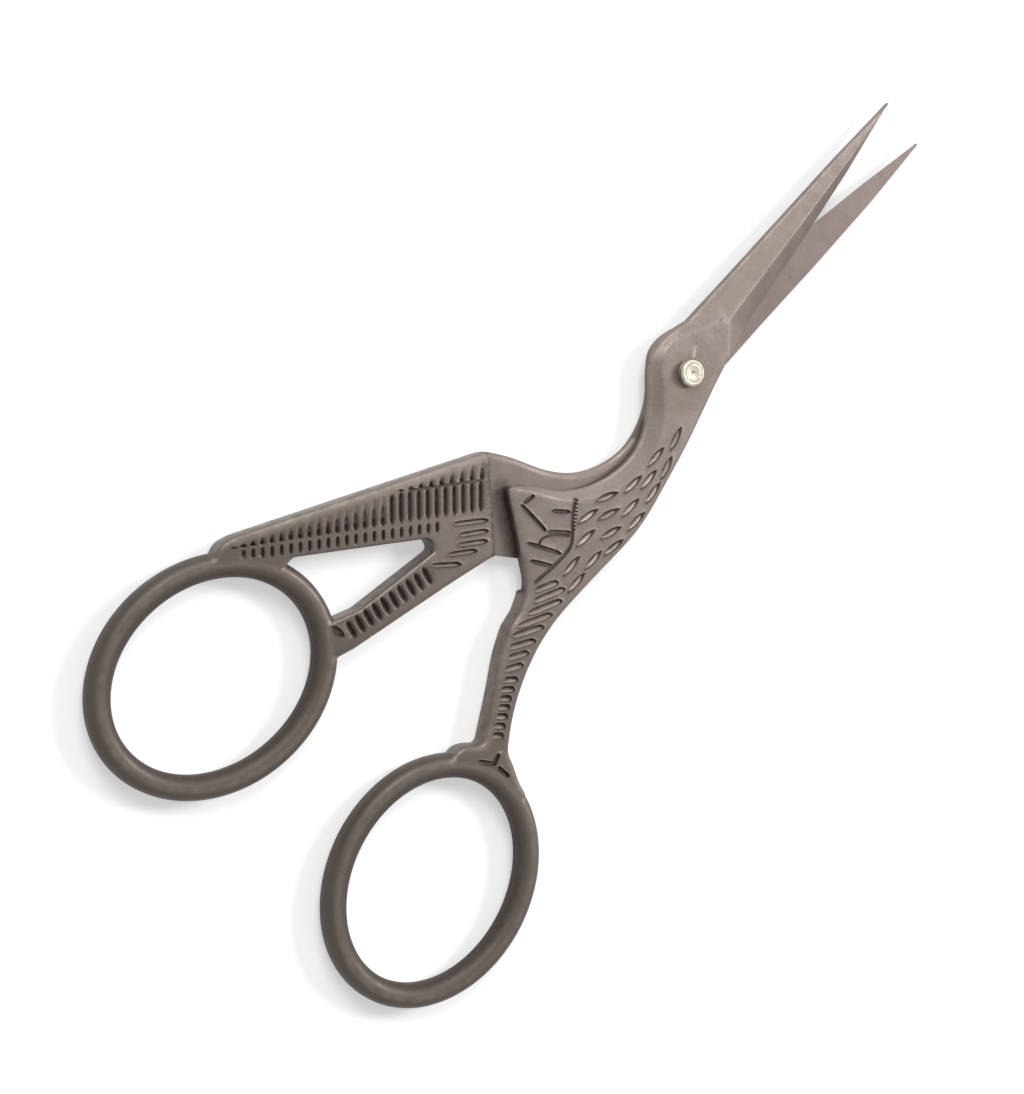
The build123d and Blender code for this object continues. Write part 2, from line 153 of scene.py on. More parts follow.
# How finely the forgings are meshed, and how their edges are worked
CURVE_STEP = 0.3
GRID_STEP = 0.7
SAME_PLACE, ON_RIM, ON_OUTLINE, ROW_KEPT = 1e-6, 1e-4, 1e-3, 0.97
RAISED = 0.03
PLATEAU = HALF_THICKNESS - RAISED
CHEST_ROUND, HIP_ROUND, RIM_ROUND, WEB_ROUND = 0.55, 0.85, 0.2, 0.8
TOP_BEVEL, STRUT_ROUND, WINDOW_ROUND, STEP_ROUND, LEDGE_ROUND = 1.0, 0.5, 0.4, 0.16, 0.8
ROUND_ROWS = [0.05, 0.18, 0.4, 0.7, 1.0]
FACET_ROWS = [0.07, 0.16, 0.3, 0.5, 0.75]
CREST_SOFTNESS = 0.09
SLOPE_HEIGHTS = [SPINE_HEIGHT, 0.8, 0.86, 0.92, 0.98, 1.05, 1.2]
EDGE_POWER, SPINE_POWER = 1.7, 2
BLADE_STEP, RING_SIDES, SHARP_ANGLE = 0.45, 150, 38
MOST_ROUND, STOP_ROUND = 0.45, 0.9
CORNER_SOFTNESS, CORNER_TURN, CORNER_SHARE, CORNER_POINTS, CALM_POINTS = 0.8, 20, 0.45, 6, 9
TIP_LAND, TIP_SOFTNESS = 0.07, 0.2
DENT_LIP, FLOOR_DROP = 0.02, 0.02
HEAD_CREST = [(6.2, 1.1), (3.6, 2.55), (1.7, 3.42)]
HEAD_SINK = HEAD_RECESS + HEAD_RIM + HEAD_RADIUS - PIN_RADIUS
DENT_RADIUS = HEAD_RADIUS + PIN_CLEARANCE
SPINE_RUN_OUT, EDGE_RUN_OUT = 3.0, 6.2
# The last pair lightens the ring's crest: partly wear, partly painted highlight.
RING_CREST, RING_SIDE, RING_POWERS, RING_CREST_WEAR_HIGHLIGHT = 0.43, 0.34, (2.3, 0.62), (0.3, 0.22)
RING_MARGIN, HALVINGS = 0.02, 30
RING_ROWS = [0.02, 0.08, 0.17, 0.28, 0.38, 0.48, 0.6, 0.72, 0.84, 0.93, 0.98]
FACET_FINENESS = 1.1

# How strokes are cut: the levels down their walls, each as a share of the half width and of the depth
STROKE_DEPTH, LOOP_POINTS, POINTS_PER_MM = 0.3, 5, 2.6
NEAR_ALONG, NEAR_ACROSS, FAR_LEVEL, LEAST_WIDTH = (-0.6, 1.6), 3, 9.0, 0.2
STROKE_LEVELS = [0.3, 0.6, 0.82, 0.97, 1.12, 1.5]
STROKE_WALL = [1, 1, 0.6, 0.08, -0.08, 0]
GROOVE_LEVELS, GROOVE_WALL = [0.08, 0.36, 0.66, 0.97], [1, 0.52, 0.18, 0]

# Where dirt and painted shade darken, and where wear and painted highlights lighten: strengths, and pairs
# between which each fades
# Grooves darken towards their middle, shifted towards their shaded side: dirt with painted shade.
GROOVE_SHIFT, GROOVE_DIRT_SHADE, STRUT_DIRT_SHADE, TOOTH_DIRT_SHADE = 0.08, (0.22, 0.8), (0.5, 1.0), (0.28, 0.92)
# Leaning strokes: painted shade over their left side, a little darkening elsewhere on their floor, and a
# darker line along their right edge.
LEAN_SHADE, LEAST_DIRT_SHADE, OTHER_SIDE_DARK, SIDE_FROM = (-0.22, 0.38), 0.05, 0.45, -0.7
# Painted highlight on a leaning stroke's floor, away from its shaded side.
LIT_FLOOR_DEPTH_RUN, LIT_FLOOR_SIDE_RUN = (0.7, 1), (0.1, 0.6)
# Rings: painted shade on the inner side towards the hole, and darker towards the outer side.
RING_HOLE_SHADE, RING_HOLE_SHADE_RUN, RING_OUTER_DARK, RING_OUTER_DARK_RUN, EDGE_SHARE = 0.62, (0.55, 1), 0.2, (0, 0.2), 0.5
# Painted shade over the ledge near the step; along the slope's crest, wear with a painted highlight.
LEDGE_SHADE, LEDGE_REACH, CREST_WEAR_HIGHLIGHT = 0.15, 4.0, 0.5
# Painted shade in the seam along the step.
SEAM_CORE, SEAM, INNER_SEAM = 0.13, 0.52, 0.52 / 1.4
# Painted shadow that the breast casts on the ledge.
BREAST_SHADOW, BREAST_SHADOW_RUN = 1.0, (0.15, 1.35)
# The last pair is for the light line along the slope's crest: partly wear, partly painted highlight.
EDGE_WEAR, BEVEL_WEAR, CREST_WEAR_HIGHLIGHT_RUN = (0.05, 0.45), (0.35, 1.1), (0.05, 0.32)
# Painted highlight in the worn colour over the front blade's upper facet, rising towards the tip.
FACET_HIGHLIGHT, FACET_HIGHLIGHT_RUN = 0.7, (5.0, 9.5)


def turned(points, degrees):
    """Plan points, one or many, turned about the origin."""
    c, s = math.cos(math.radians(degrees)), math.sin(math.radians(degrees))
    x, y = np.moveaxis(np.array(points, float)[..., :2], -1, 0)
    return np.stack([x * c - y * s, x * s + y * c], axis=-1)


def place(share):
    """A plan point, from shares of the handle reach."""
    return np.array(share[:2], float) * HANDLE_REACH


def places(shares):
    return [place(share) for share in shares]


def by_ring(centre, *shares):
    """Plan points, from shares of a finger ring's long and short sizes."""
    return [centre + np.array([share[0] * RING_LONG, share[1] * RING_SHORT]) for share in shares]


def ring_points(centre, turn, angles, inward):
    """Points round a finger ring, a distance in from its outer side."""
    around = np.radians(angles)
    oval = np.c_[(RING_LONG - inward) * np.cos(around), (RING_SHORT - inward) * np.sin(around)]
    return list(centre + turned(oval, turn))


def run(*parts):
    """Joins points and runs of points into one run of plan points, without doubles."""
    joined = []
    for part in parts:
        for point in np.atleast_2d(part):
            if not joined or np.hypot(*(point - joined[-1])) > SAME_PLACE:
                joined.append(np.array(point, float))
    return np.array(joined)


def curve(points, step=CURVE_STEP):
    """A smooth run through the given points, of any width, in steps of about the same length."""
    points = np.array(points, float)
    spans = np.linalg.norm(np.diff(points[:, :2], axis=0), axis=1)
    at = np.r_[0, np.cumsum(spans)]
    count = len(points)
    matrix, right = np.eye(count), np.zeros_like(points)
    for i in range(1, count - 1):
        matrix[i, i - 1:i + 2] = spans[i - 1], 2 * (spans[i - 1] + spans[i]), spans[i]
        after, before = (points[i + 1] - points[i]) / spans[i], (points[i] - points[i - 1]) / spans[i - 1]
        right[i] = 6 * (after - before)
    bend = np.linalg.solve(matrix, right)
    where = np.linspace(0, at[-1], max(2, int(round(at[-1] / step)) + 1))
    i = np.clip(np.searchsorted(at, where, side="right") - 1, 0, count - 2)
    h, a, b = spans[i][:, None], (at[i + 1] - where)[:, None], (where - at[i])[:, None]
    return (
        (bend[i] * a**3 + bend[i + 1] * b**3) / (6 * h)
        + (points[i] / h - bend[i] * h / 6) * a
        + (points[i + 1] / h - bend[i + 1] * h / 6) * b
    )


def straight(points, step=CURVE_STEP):
    """Straight runs between the given points, cut into steps."""
    points = np.array(points, float)
    out = [points[0]]
    for start, end in zip(points, points[1:]):
        count = max(1, int(round(np.linalg.norm((end - start)[:2]) / step)))
        out += [start + (end - start) * (k + 1) / count for k in range(count)]
    return np.array(out)


def inside(points, polygon):
    """Which points lie inside a closed run."""
    x, y = points[:, 0], points[:, 1]
    result = np.zeros(len(points), bool)
    for (x0, y0), (x1, y1) in zip(polygon[:, :2], np.roll(polygon[:, :2], -1, axis=0)):
        if y0 == y1:
            continue
        crosses = (y0 > y) != (y1 > y)
        result ^= crosses & (x < (x1 - x0) * (y - y0) / (y1 - y0) + x0)
    return result


def reach(points, line):
    """Distance from each point to a run of points, and the run's third value at the nearest place."""
    best = np.full(len(points), 1e9)
    value = np.zeros(len(points))
    for start, end in zip(line, line[1:]):
        span = (end - start)[:2]
        share = np.clip(((points - start[:2]) @ span) / max(span @ span, 1e-12), 0, 1)
        gap = np.linalg.norm(points - start[:2] - share[:, None] * span, axis=1)
        nearer = gap < best
        best[nearer] = gap[nearer]
        if len(start) > 2:
            value[nearer] = (start[2] + share * (end[2] - start[2]))[nearer]
    return best, value


def lengths(line):
    """How far along a run each of its points lies."""
    return np.r_[0, np.cumsum(np.linalg.norm(np.diff(line[:, :2], axis=0), axis=1))]


def raised(line, heights):
    """Gives a run of plan points its heights, spread evenly between the given ones."""
    line = np.array(line, float)[:, :2]
    along = lengths(line)
    return np.c_[line, np.interp(along / along[-1], np.linspace(0, 1, len(heights)), heights)]


def smooth(value, low, high):
    """0 up to low, 1 from high, and a soft rise between them."""
    share = np.clip((value - low) / (high - low), 0, 1)
    return share * share * (3 - 2 * share)


# Strokes: how fast each kind narrows towards its ends; a tooth has a blunt foot and a long point
STROKE_POWERS = {"feather": 2.2, "oval": 4, "bar": 8}
TOOTH_FOOT, TOOTH_POWER = 0.12, 1.8


def stroke_width(kind, s):
    """How wide a stroke is at a share of its length, as a share of its full width."""
    if kind == "tooth":
        return 1 - np.maximum(s, 0) ** TOOTH_POWER - np.maximum((TOOTH_FOOT - s) / TOOTH_FOOT, 0) ** 2
    return 1 - np.abs(2 * s - 1) ** STROKE_POWERS[kind]


def stroke_ends(kind, level):
    """The shares of its length between which a stroke is wider than a level leaves."""
    if kind == "tooth":
        return TOOTH_FOOT * (1 - math.sqrt(level)), level ** (1 / TOOTH_POWER)
    half = level ** (1 / STROKE_POWERS[kind]) / 2
    return 0.5 - half, 0.5 + half


class Stroke:
    """One cut stroke: its foot, direction, length, width and depth. A leaning one is deeper on its left."""

    def __init__(self, kind, foot, angle, length, width, depth=STROKE_DEPTH, lean=0.0, wall=STROKE_WALL,
                 bare=0.0, dark=GROOVE_DIRT_SHADE):
        self.kind, self.foot, self.angle, self.length = kind, np.array(foot, float), angle, length
        self.half_width, self.depth, self.lean, self.bare, self.dark = width / 2, depth, lean, bare, dark
        self.wall, self.levels = wall, GROOVE_LEVELS if wall is GROOVE_WALL else STROKE_LEVELS

    def loops(self):
        """Closed runs of plan points along the stroke's floor, wall and raised rim."""
        count = int(LOOP_POINTS + self.length * POINTS_PER_MM)
        for level in self.levels:
            low, high = stroke_ends(self.kind, level)
            along = low + (high - low) * (1 - np.cos(np.linspace(0, np.pi, count))) / 2
            across = self.half_width * np.maximum(stroke_width(self.kind, along) - 1 + level, 0)
            across[0] = across[-1] = 0
            side = np.c_[along * self.length, across]
            yield self.foot + turned(np.r_[side, (side * [1, -1])[-2:0:-1]], self.angle)

    def cut(self, points):
        """How deep the stroke is at each point, how dark it is from dirt and painted shade, and how much
        painted highlight its floor gets.
        """
        local = turned(points - self.foot, -self.angle)
        along, across = local[:, 0] / self.length, local[:, 1] / self.half_width
        near = (along > NEAR_ALONG[0]) & (along < NEAR_ALONG[1]) & (np.abs(across) < NEAR_ACROSS)
        width = stroke_width(self.kind, along[near])
        level, shifted, side = np.full((3, len(points)), FAR_LEVEL)
        level[near] = np.abs(across[near]) + 1 - width
        shifted[near] = np.abs(across[near] - GROOVE_SHIFT) + 1 - width
        side[near] = np.clip(across[near] / np.maximum(width, LEAST_WIDTH), -1, 1)
        depth = np.interp(level, self.levels, self.wall)
        floor = np.clip(depth, 0, 1)
        # Dirt with painted shade, darkest at the groove's middle and shifted towards its shaded side.
        if self.wall is GROOVE_WALL:
            return depth, 1 - smooth(shifted, *self.dark), floor * 0
        # Dirt with painted shade over the floor of a stroke that does not lean.
        if not self.lean:
            return depth, floor**0.5, floor * 0
        # Painted shade over the stroke's left side, a little darkening elsewhere on its floor, and a darker
        # line along its right edge.
        shaded = np.maximum(smooth(side, *LEAN_SHADE), LEAST_DIRT_SHADE) + (side < SIDE_FROM) * OTHER_SIDE_DARK
        # Painted highlight on the floor, in the worn colour, away from the shaded side.
        bare = self.bare * smooth(depth, *LIT_FLOOR_DEPTH_RUN) * (1 - smooth(side, *LIT_FLOOR_SIDE_RUN))
        leaning = np.where(depth > 0, depth * (1 + self.lean * np.clip(across, -1, 1)), depth)
        return leaning, floor**0.5 * shaded, bare


class LineStroke:
    """A stroke that follows a curved line."""

    def __init__(self, points, width, depth):
        self.line, self.half_width, self.depth = curve(points, width), width / 2, depth

    def loops(self):
        span = np.gradient(self.line, axis=0)
        normal = np.c_[-span[:, 1], span[:, 0]] / np.linalg.norm(span, axis=1)[:, None]
        for level in STROKE_LEVELS:
            aside = normal * level * self.half_width
            yield np.r_[self.line + aside, (self.line - aside)[::-1]]

    def cut(self, points):
        gap, _ = reach(points, self.line)
        depth = np.interp(gap / self.half_width, STROKE_LEVELS, STROKE_WALL)
        # Dirt with painted shade over the line's floor.
        return depth, np.clip(depth, 0, 1) ** 0.5, depth * 0


def middle_strokes(kind, shares, width, length=None, longer=0.0, **more):
    """Strokes from a table of middle, angle and length."""
    strokes = []
    for share in shares:
        size = length or share[3] * HANDLE_REACH + longer
        foot = place(share) - turned((size / 2, 0), share[2])
        strokes.append(Stroke(kind, foot, share[2], size, width, **more))
    return strokes


def row_feet(ends, count):
    """The feet of a row of strokes, evenly spaced between the first and the last."""
    return np.linspace(*places(ends), count)


def neck_strokes():
    return middle_strokes("feather", FEATHER_SHARES, FEATHER_WIDTH, FEATHER_LENGTH, depth=FEATHER_DEPTH,
                          lean=0.5, bare=0.75)


def breast_strokes():
    """The lines cut into the breast, and its border with a row of small ticks."""
    border = places(BORDER_SHARES)
    ticks = [
        Stroke("bar", foot, TICK_ANGLE, TICK_LENGTH, TICK_WIDTH, FINE_DEPTH)
        for foot in np.linspace(border[0], border[2], TICK_COUNT)
    ]
    return (
        middle_strokes("bar", BREAST_BAR_SHARES, BREAST_WIDTH, depth=BREAST_DEPTH)
        + [LineStroke(border, BORDER_WIDTH, FINE_DEPTH)]
        + [LineStroke(places(BREAST_CURVE_SHARES), LINE_WIDTH, FINE_DEPTH)]
        + ticks
    )


def leg_strokes():
    return middle_strokes("bar", LEG_RIB_SHARES, RIB_WIDTH, longer=RIB_MORE, lean=0.45, bare=0.5)


def ring_marks():
    return middle_strokes("bar", RING_MARK_SHARES, MARK_WIDTH, longer=RIB_MORE)


def wing_strokes():
    """The wing's two rows of grooves, the beads below them, the bars behind and the strut's strokes."""
    strokes = []

    def groove(kind, foot, height, width, angle=GROOVE_ANGLE, depth=GROOVE_DEPTH, dark=GROOVE_DIRT_SHADE):
        strokes.append(Stroke(kind, foot, angle, height, width, depth, wall=GROOVE_WALL, dark=dark))

    feet = row_feet(GROOVE_ENDS, GROOVE_COUNT)
    below = turned((-BEAD_DROP, 0), GROOVE_ANGLE)
    for index, foot in enumerate(feet):
        height = GROOVE_HEIGHT * min(1, (index + 1) / GROOVE_GROWING)
        if index < POINTED_COUNT:
            groove("tooth", foot, height * POINTED_MORE, GROOVE_WIDTH, dark=TOOTH_DIRT_SHADE)
        else:
            groove("bar", foot, height, PANEL_GAP)
        if 0 < index < BEAD_COUNT:
            groove("oval", foot + below, BEAD_LENGTH, BEAD_GAP, depth=BEAD_DEPTH)
    for index, foot in enumerate(row_feet(TOOTH_ENDS, TOOTH_COUNT)):
        groove("tooth", foot, TOOTH_HEIGHT * (index + 1) / TOOTH_COUNT, PANEL_GAP, dark=TOOTH_DIRT_SHADE)
    for foot in row_feet(STRUT_ENDS, STRUT_COUNT):
        groove("oval", foot, STRUT_HEIGHT, STRUT_WIDTH, angle=STRUT_ANGLE, dark=STRUT_DIRT_SHADE)
    lift = turned((GROOVE_HEIGHT, 0), GROOVE_ANGLE)
    return (
        strokes
        + [LineStroke([feet[GROOVE_GROWING] + lift, feet[-1] + lift], LINE_WIDTH, LINE_DEPTH)]
        + middle_strokes("bar", WING_BAR_SHARES, BAR_WIDTH, lean=0.35, bare=0.3)
        + middle_strokes("feather", WING_NOTCH_SHARES, RIB_WIDTH)
    )


# Ring centres, as the construction works them out
long_rise = RING_LONG * math.sin(math.radians(RING_TURN))
short_rise = RING_SHORT * math.cos(math.radians(RING_TURN))
ring_y = math.hypot(long_rise, short_rise) + RING_SHUT_GAP / 2
LEG_RING = np.array([-HANDLE_REACH - RING_LONG, -ring_y])
WING_RING = np.array([-HANDLE_REACH - RING_LONG - WING_REACH_EXTRA, ring_y])


def facet(crest, rim, painted_highlight=0):
    """A ground facet between two raised runs, with its outline for telling what lies on it, and how much
    painted highlight it gets.
    """
    return {"crest": crest, "rim": rim, "outline": run(crest[:, :2], rim[::-1, :2]), "painted_highlight": painted_highlight}


def spine_heights():
    """Heights of a blade's spine from the tip to the heel."""
    return SPINE_HEIGHT * np.interp(np.linspace(1, 0, 9), STATION_SHARES, RIDGE_SHARES)


def run_out(line, length, power, low, high):
    """Heights that rise from low to high over the last stretch of a rim before the heel."""
    back = np.clip((HEEL_X + length - line[:, 0]) / length, 0, 1)
    return np.c_[line[:, :2], low + (high - low) * back**power]


def head_rim(top_point, hollow_shares, nape_shares):
    """The rim over hollow and nape up to the heel, and the points that it runs through."""
    points = [top_point, *places(hollow_shares), *places(nape_shares), np.array([HEEL_X, HEEL_RISE])]
    return curve(points), points[::-1]


def slope_rim(rim):
    return raised(rim[::-1], SLOPE_HEIGHTS)


def corners(loop):
    """Which points of a closed run are sharp corners."""
    before, after = loop - np.roll(loop, 1, axis=0), np.roll(loop, -1, axis=0) - loop
    turn = before[:, 0] * after[:, 1] - before[:, 1] * after[:, 0]
    turn = turn / np.linalg.norm(before, axis=1) / np.linalg.norm(after, axis=1)
    straight_on = (before * after).sum(axis=1) > 0
    return ~straight_on | (np.abs(turn) > math.sin(math.radians(CORNER_TURN)))


def soften(loop):
    """Rounds each sharp corner of a closed run, starting where the run is calm."""
    calm = np.convolve(np.tile(corners(loop), 2), np.ones(CALM_POINTS))[CALM_POINTS // 2:][:len(loop)]
    loop = np.roll(loop, -int(np.argmin(calm)), axis=0)
    at = lengths(loop)
    sharp = at[corners(loop)]
    out, done = [], 0.0
    for left, here, right in zip([0.0, *sharp], sharp, [*sharp[1:], at[-1]]):
        middle = loop[np.searchsorted(at, here)]
        size = min(CORNER_SOFTNESS, (here - left) * CORNER_SHARE, (right - here) * CORNER_SHARE)
        if np.hypot(middle[0] - BLADE_LENGTH, middle[1]) < 1:
            size = min(size, TIP_SOFTNESS)
        start, end = np.transpose([np.interp([here - size, here + size], at, loop[:, k]) for k in (0, 1)])
        out.extend(loop[(at > done) & (at < here - size)])
        for share in np.linspace(0, 1, CORNER_POINTS):
            out.append(start * (1 - share) ** 2 + middle * 2 * share * (1 - share) + end * share**2)
        done = here + size
    out.extend(loop[at > done])
    return run(np.array(out))


def edge_runs(outline, parts):
    """Splits an outline into runs, each with the rounding of the part that it comes from."""
    closed = run(outline, outline[0])
    middles = (closed[1:] + closed[:-1]) / 2
    nearest = np.argmin([reach(middles, line)[0] for line, _ in parts], axis=0)
    breaks = [0, *(np.flatnonzero(np.diff(nearest)) + 1), len(nearest)]
    return [
        (closed[start:end + 1], parts[nearest[start]][1])
        for start, end in zip(breaks, breaks[1:])
        if parts[nearest[start]][1]
    ]


def circle(radius, count=48):
    """A closed run round the pivot."""
    return np.array([turned((radius, 0), 360 * k / count) for k in range(count)])


shoulder_low, lap_end, shoulder_top = places([SHOULDER_LOW_SHARE, LAP_END_SHARE, SHOULDER_TOP_SHARE])
step_run = (lap_end - shoulder_low) / np.hypot(*(lap_end - shoulder_low))
step_out = turned(step_run, -90)


def beyond_lap(points, distance):
    """Which points lie past the line where the lap ends, by more than a distance."""
    return (points - shoulder_low) @ step_out > distance


class Half:
    """A half without the recessed lap and the countersink, which only the wing half has."""

    circles, lap_rounds = [], []

    def outer_dent(self, points):
        return 0.0


class LegHalf(Half):
    """The half with the bevelled front blade, the bird's breast and its leg."""

    ring, ring_turn = LEG_RING, RING_TURN

    def __init__(self):
        ridge, fold, upper, lower = blade_runs()
        foot, *web_front = by_ring(LEG_RING, LEG_FOOT_SHARE, *WEB_FRONT_SHARES)
        *web_back, heel = by_ring(LEG_RING, *WEB_BACK_SHARES, LEG_HEEL_SHARE)
        top_point = place(BREAST_TOP_SHARE)
        rim, rim_points = head_rim(top_point, LEG_HOLLOW_SHARES, LEG_NAPE_SHARES)
        chest = curve([HEEL_LOW, *places(CHEST_SHARES + [WAIST_SHARE] + LEG_FRONT_SHARES), foot])
        under = ring_points(LEG_RING, RING_TURN, WEB_ANGLES, RING_STOCK / 2)
        web = run(curve([foot, *web_front]), straight([web_front[-1], *under, web_back[0]]),
                  curve([*web_back, heel]))
        back = run(
            curve([heel, *places(LEG_BACK_SHARES), place(KNEE_SHARE)]),
            straight(places([KNEE_SHARE] + HIP_SHARES + [BREAST_LOW_SHARE, BREAST_TOP_SHARE])),
        )
        self.outline = soften(run(chest, web, back, rim, upper[::-1], lower)[:-1])
        self.holes = [circle(PIN_RADIUS)]
        crest = self.crest = crest_curve(top_point, rim_points)
        spine = raised(upper, spine_heights())
        self.facets = [
            # The upper facet gets a painted highlight.
            facet(joined_crest(ridge, crest), np.r_[spine, slope_rim(rim)[1:]], FACET_HIGHLIGHT),
            facet(fold, run_out(lower, EDGE_RUN_OUT, EDGE_POWER, EDGE_LAND, PLATEAU)),
        ]
        body = [(chest, CHEST_ROUND), (web, WEB_ROUND), (back, HIP_ROUND)]
        top = [(rim, RIM_ROUND), (upper, RIM_ROUND), (lower, 0)]
        self.outer_rounds = edge_runs(self.outline, body + top)
        self.inner_rounds = edge_runs(self.outline, body + unrounded(top))
        self.step = straight([shoulder_low + step_out * STOP_GAP - step_run * HANDLE_REACH,
                              lap_end + step_out * STOP_GAP + step_run * HANDLE_REACH])
        self.inner_rounds.append((self.step, STOP_ROUND))
        self.outer_strokes = neck_strokes() + breast_strokes() + leg_strokes() + ring_marks()
        self.inner_strokes = leg_strokes()

    def full(self, points):
        return beyond_lap(points, STOP_GAP)

    @staticmethod
    def to_frame(point):
        x, y = turned(point, OPENING / 2)
        return x, y, HALF_THICKNESS + LAP_GAP + point[2]


class WingHalf(Half):
    """The half with the flat-faced rear blade, the recessed lap behind the breast, and the wing."""

    ring, ring_turn = WING_RING, -RING_TURN

    def __init__(self):
        ridge, fold, upper, lower = blade_runs()
        rim, rim_points = head_rim(shoulder_top, WING_HOLLOW_SHARES, WING_NAPE_SHARES)
        chest = curve([HEEL_LOW, *places(CHEST_SHARES + [WAIST_SHARE])])
        chest = chest[~beyond_lap(chest, 0)]
        lap_edge = straight([chest[-1], shoulder_low])
        strut = straight([shoulder_low, place(STRUT_SHARE), *by_ring(WING_RING, STRUT_END_SHARE)])
        tail = straight([
            strut[-1],
            *ring_points(WING_RING, -RING_TURN, TAIL_ANGLES[::-1], RING_STOCK / 2),
            *by_ring(WING_RING, *WING_TAIL_SHARES[::-1]),
        ])
        top = straight([tail[-1], shoulder_top])
        self.outline = soften(run(chest, lap_edge, strut, tail, top, rim, upper[::-1], lower)[:-1])
        self.wing = run(strut, tail, top)[:-1]
        window_corners = [
            *by_ring(WING_RING, WINDOW_TOP_SHARE), *places(WINDOW_FRONT_SHARES),
            *by_ring(WING_RING, WINDOW_LOW_SHARE),
            *ring_points(WING_RING, -RING_TURN, WINDOW_ANGLES, RING_STOCK / 2),
        ]
        window = soften(straight(window_corners + window_corners[:1])[:-1])
        self.holes = [circle(PIN_RADIUS + PIN_CLEARANCE), window]
        self.circles = [circle(DENT_RADIUS + more) for more in (DENT_LIP, 0, -HEAD_RIM)]
        crest = self.crest = crest_curve(shoulder_top, rim_points)
        spine = raised(lower, spine_heights())
        thin = run_out(upper, EDGE_RUN_OUT, EDGE_POWER, EDGE_LAND, SPINE_HEIGHT)
        self.facets = [
            facet(joined_crest(ridge, crest), np.r_[thin, slope_rim(rim)[1:]]),
            facet(fold, np.maximum(spine, run_out(lower, SPINE_RUN_OUT, SPINE_POWER, 0, PLATEAU))),
        ]
        wing = [(strut, STRUT_ROUND), (tail, WEB_ROUND), (top, TOP_BEVEL)]
        window_round = [(run(window, window[0]), WINDOW_ROUND)]
        lap = [(chest, CHEST_ROUND), (lap_edge, CHEST_ROUND), (rim, RIM_ROUND), (lower, RIM_ROUND)]
        lap.append((upper, 0))
        self.step = straight([shoulder_low, shoulder_top])
        self.outer_rounds = edge_runs(self.outline, wing + lap) + window_round
        self.inner_rounds = edge_runs(self.outline, wing + unrounded(lap))
        self.inner_rounds += window_round + [(self.step, STEP_ROUND)]
        hollow = rim[rim[:, 0] < -HANDLE_REACH / 5]
        self.lap_rounds = edge_runs(self.outline, [(hollow, LEDGE_ROUND)] + unrounded(wing + lap))
        self.outer_strokes = neck_strokes() + wing_strokes()
        self.inner_strokes = wing_strokes()

    def full(self, points):
        return inside(points, self.wing)

    def outer_dent(self, points):
        """The countersink for the screw's head."""
        gap = np.hypot(*points.T)
        depth = np.clip(DENT_RADIUS + HEAD_RECESS + HEAD_RIM - gap, 0, HEAD_SINK)
        return np.where(gap < DENT_RADIUS + DENT_LIP / 2, depth, 0)

    @staticmethod
    def to_frame(point):
        x, y = turned(point, -OPENING / 2)
        return x, y, HALF_THICKNESS - point[2]


def blade_runs():
    """The ridge, the ridge with its fold to the heel, and both rims of a blade, from the tip back."""
    stations = [HEEL_X + (BLADE_LENGTH - HEEL_X) * share for share in STATION_SHARES]
    fold_start = (HEEL_X + FOLD_RUN, 0, PLATEAU)
    ridge = [(x, 0, RIDGE_HEIGHT * share) for x, share in zip(stations, RIDGE_SHARES)]
    ridge[0] = fold_start
    upper = [(x, HEEL_RISE * share) for x, share in zip(stations, RISE_SHARES)]
    lower = [(x, -HEEL_DROP * share) for x, share in zip(stations, DROP_SHARES)]
    ridge, upper, lower = (straight(line[::-1], BLADE_STEP) for line in (ridge, upper, lower))
    fold = straight([fold_start, (*HEEL_LOW, PLATEAU)])
    return ridge, np.r_[ridge, fold[1:]], upper, lower


def joined_crest(ridge, crest):
    """The ridge of a blade and the flat face's limit behind it, as one run."""
    return np.r_[ridge, raised(crest, [PLATEAU, PLATEAU])[1:]]


def unrounded(parts):
    """The same runs of an outline without their rounding."""
    return [(line, 0) for line, _ in parts]


def crest_curve(top_point, rim_points):
    """The upper limit of the slope along head and neck, from the ridge's start to the breast's top."""
    crest = [np.array([HEEL_X + FOLD_RUN, 0.0])]
    for before, point, after, share in zip(rim_points, rim_points[1:], rim_points[2:], SLOPE_WIDTH_SHARES):
        span = (after - before) / np.hypot(*(after - before))
        crest.append(point + np.array([-span[1], span[0]]) * SLOPE_WIDTH * share)
    crest[1:1] = [np.array(point) for point in HEAD_CREST]
    crest.append(top_point)
    return curve(crest)


def ring_share(points, half):
    """How far each point lies across the ring's stock: 0 at its outer side, 1 at its hole."""
    x, y = turned(points - half.ring, -half.ring_turn).T
    low, high = np.full(len(points), -RING_STOCK), np.full(len(points), 2 * RING_STOCK)
    for _ in range(HALVINGS):
        middle = (low + high) / 2
        outer = (x / (RING_LONG - middle)) ** 2 + (y / (RING_SHORT - middle)) ** 2 > 1
        high, low = np.where(outer, middle, high), np.where(outer, low, middle)
    return (low + high) / 2 / RING_STOCK


def ring_rise(share):
    """Half the ring's thickness across its stock: a soft crest, nearer the outer side."""
    span = np.where(share < RING_CREST, RING_CREST, 1 - RING_CREST)
    away = np.clip(np.abs(share - RING_CREST) / span, 0, 1)
    return RING_SIDE + (THICKNESS / 2 - RING_SIDE) * (1 - away ** RING_POWERS[0]) ** RING_POWERS[1]


def rounding(points, rounds):
    """How much the edges' roundings take off at each point, and how near each lies to a worn edge."""
    drop, edge = np.zeros(len(points)), np.zeros(len(points))
    for line, radius in rounds:
        gap, _ = reach(points, line)
        short = np.clip(radius - gap, 0, radius)
        depth = STOP_ROUND if radius == STOP_ROUND else min(radius, MOST_ROUND)
        drop = np.maximum(drop, (radius - np.sqrt(radius**2 - short**2)) * depth / radius)
        edge = np.maximum(edge, 1 - smooth(gap, *(BEVEL_WEAR if radius >= HIP_ROUND else EDGE_WEAR)))
    return drop, edge


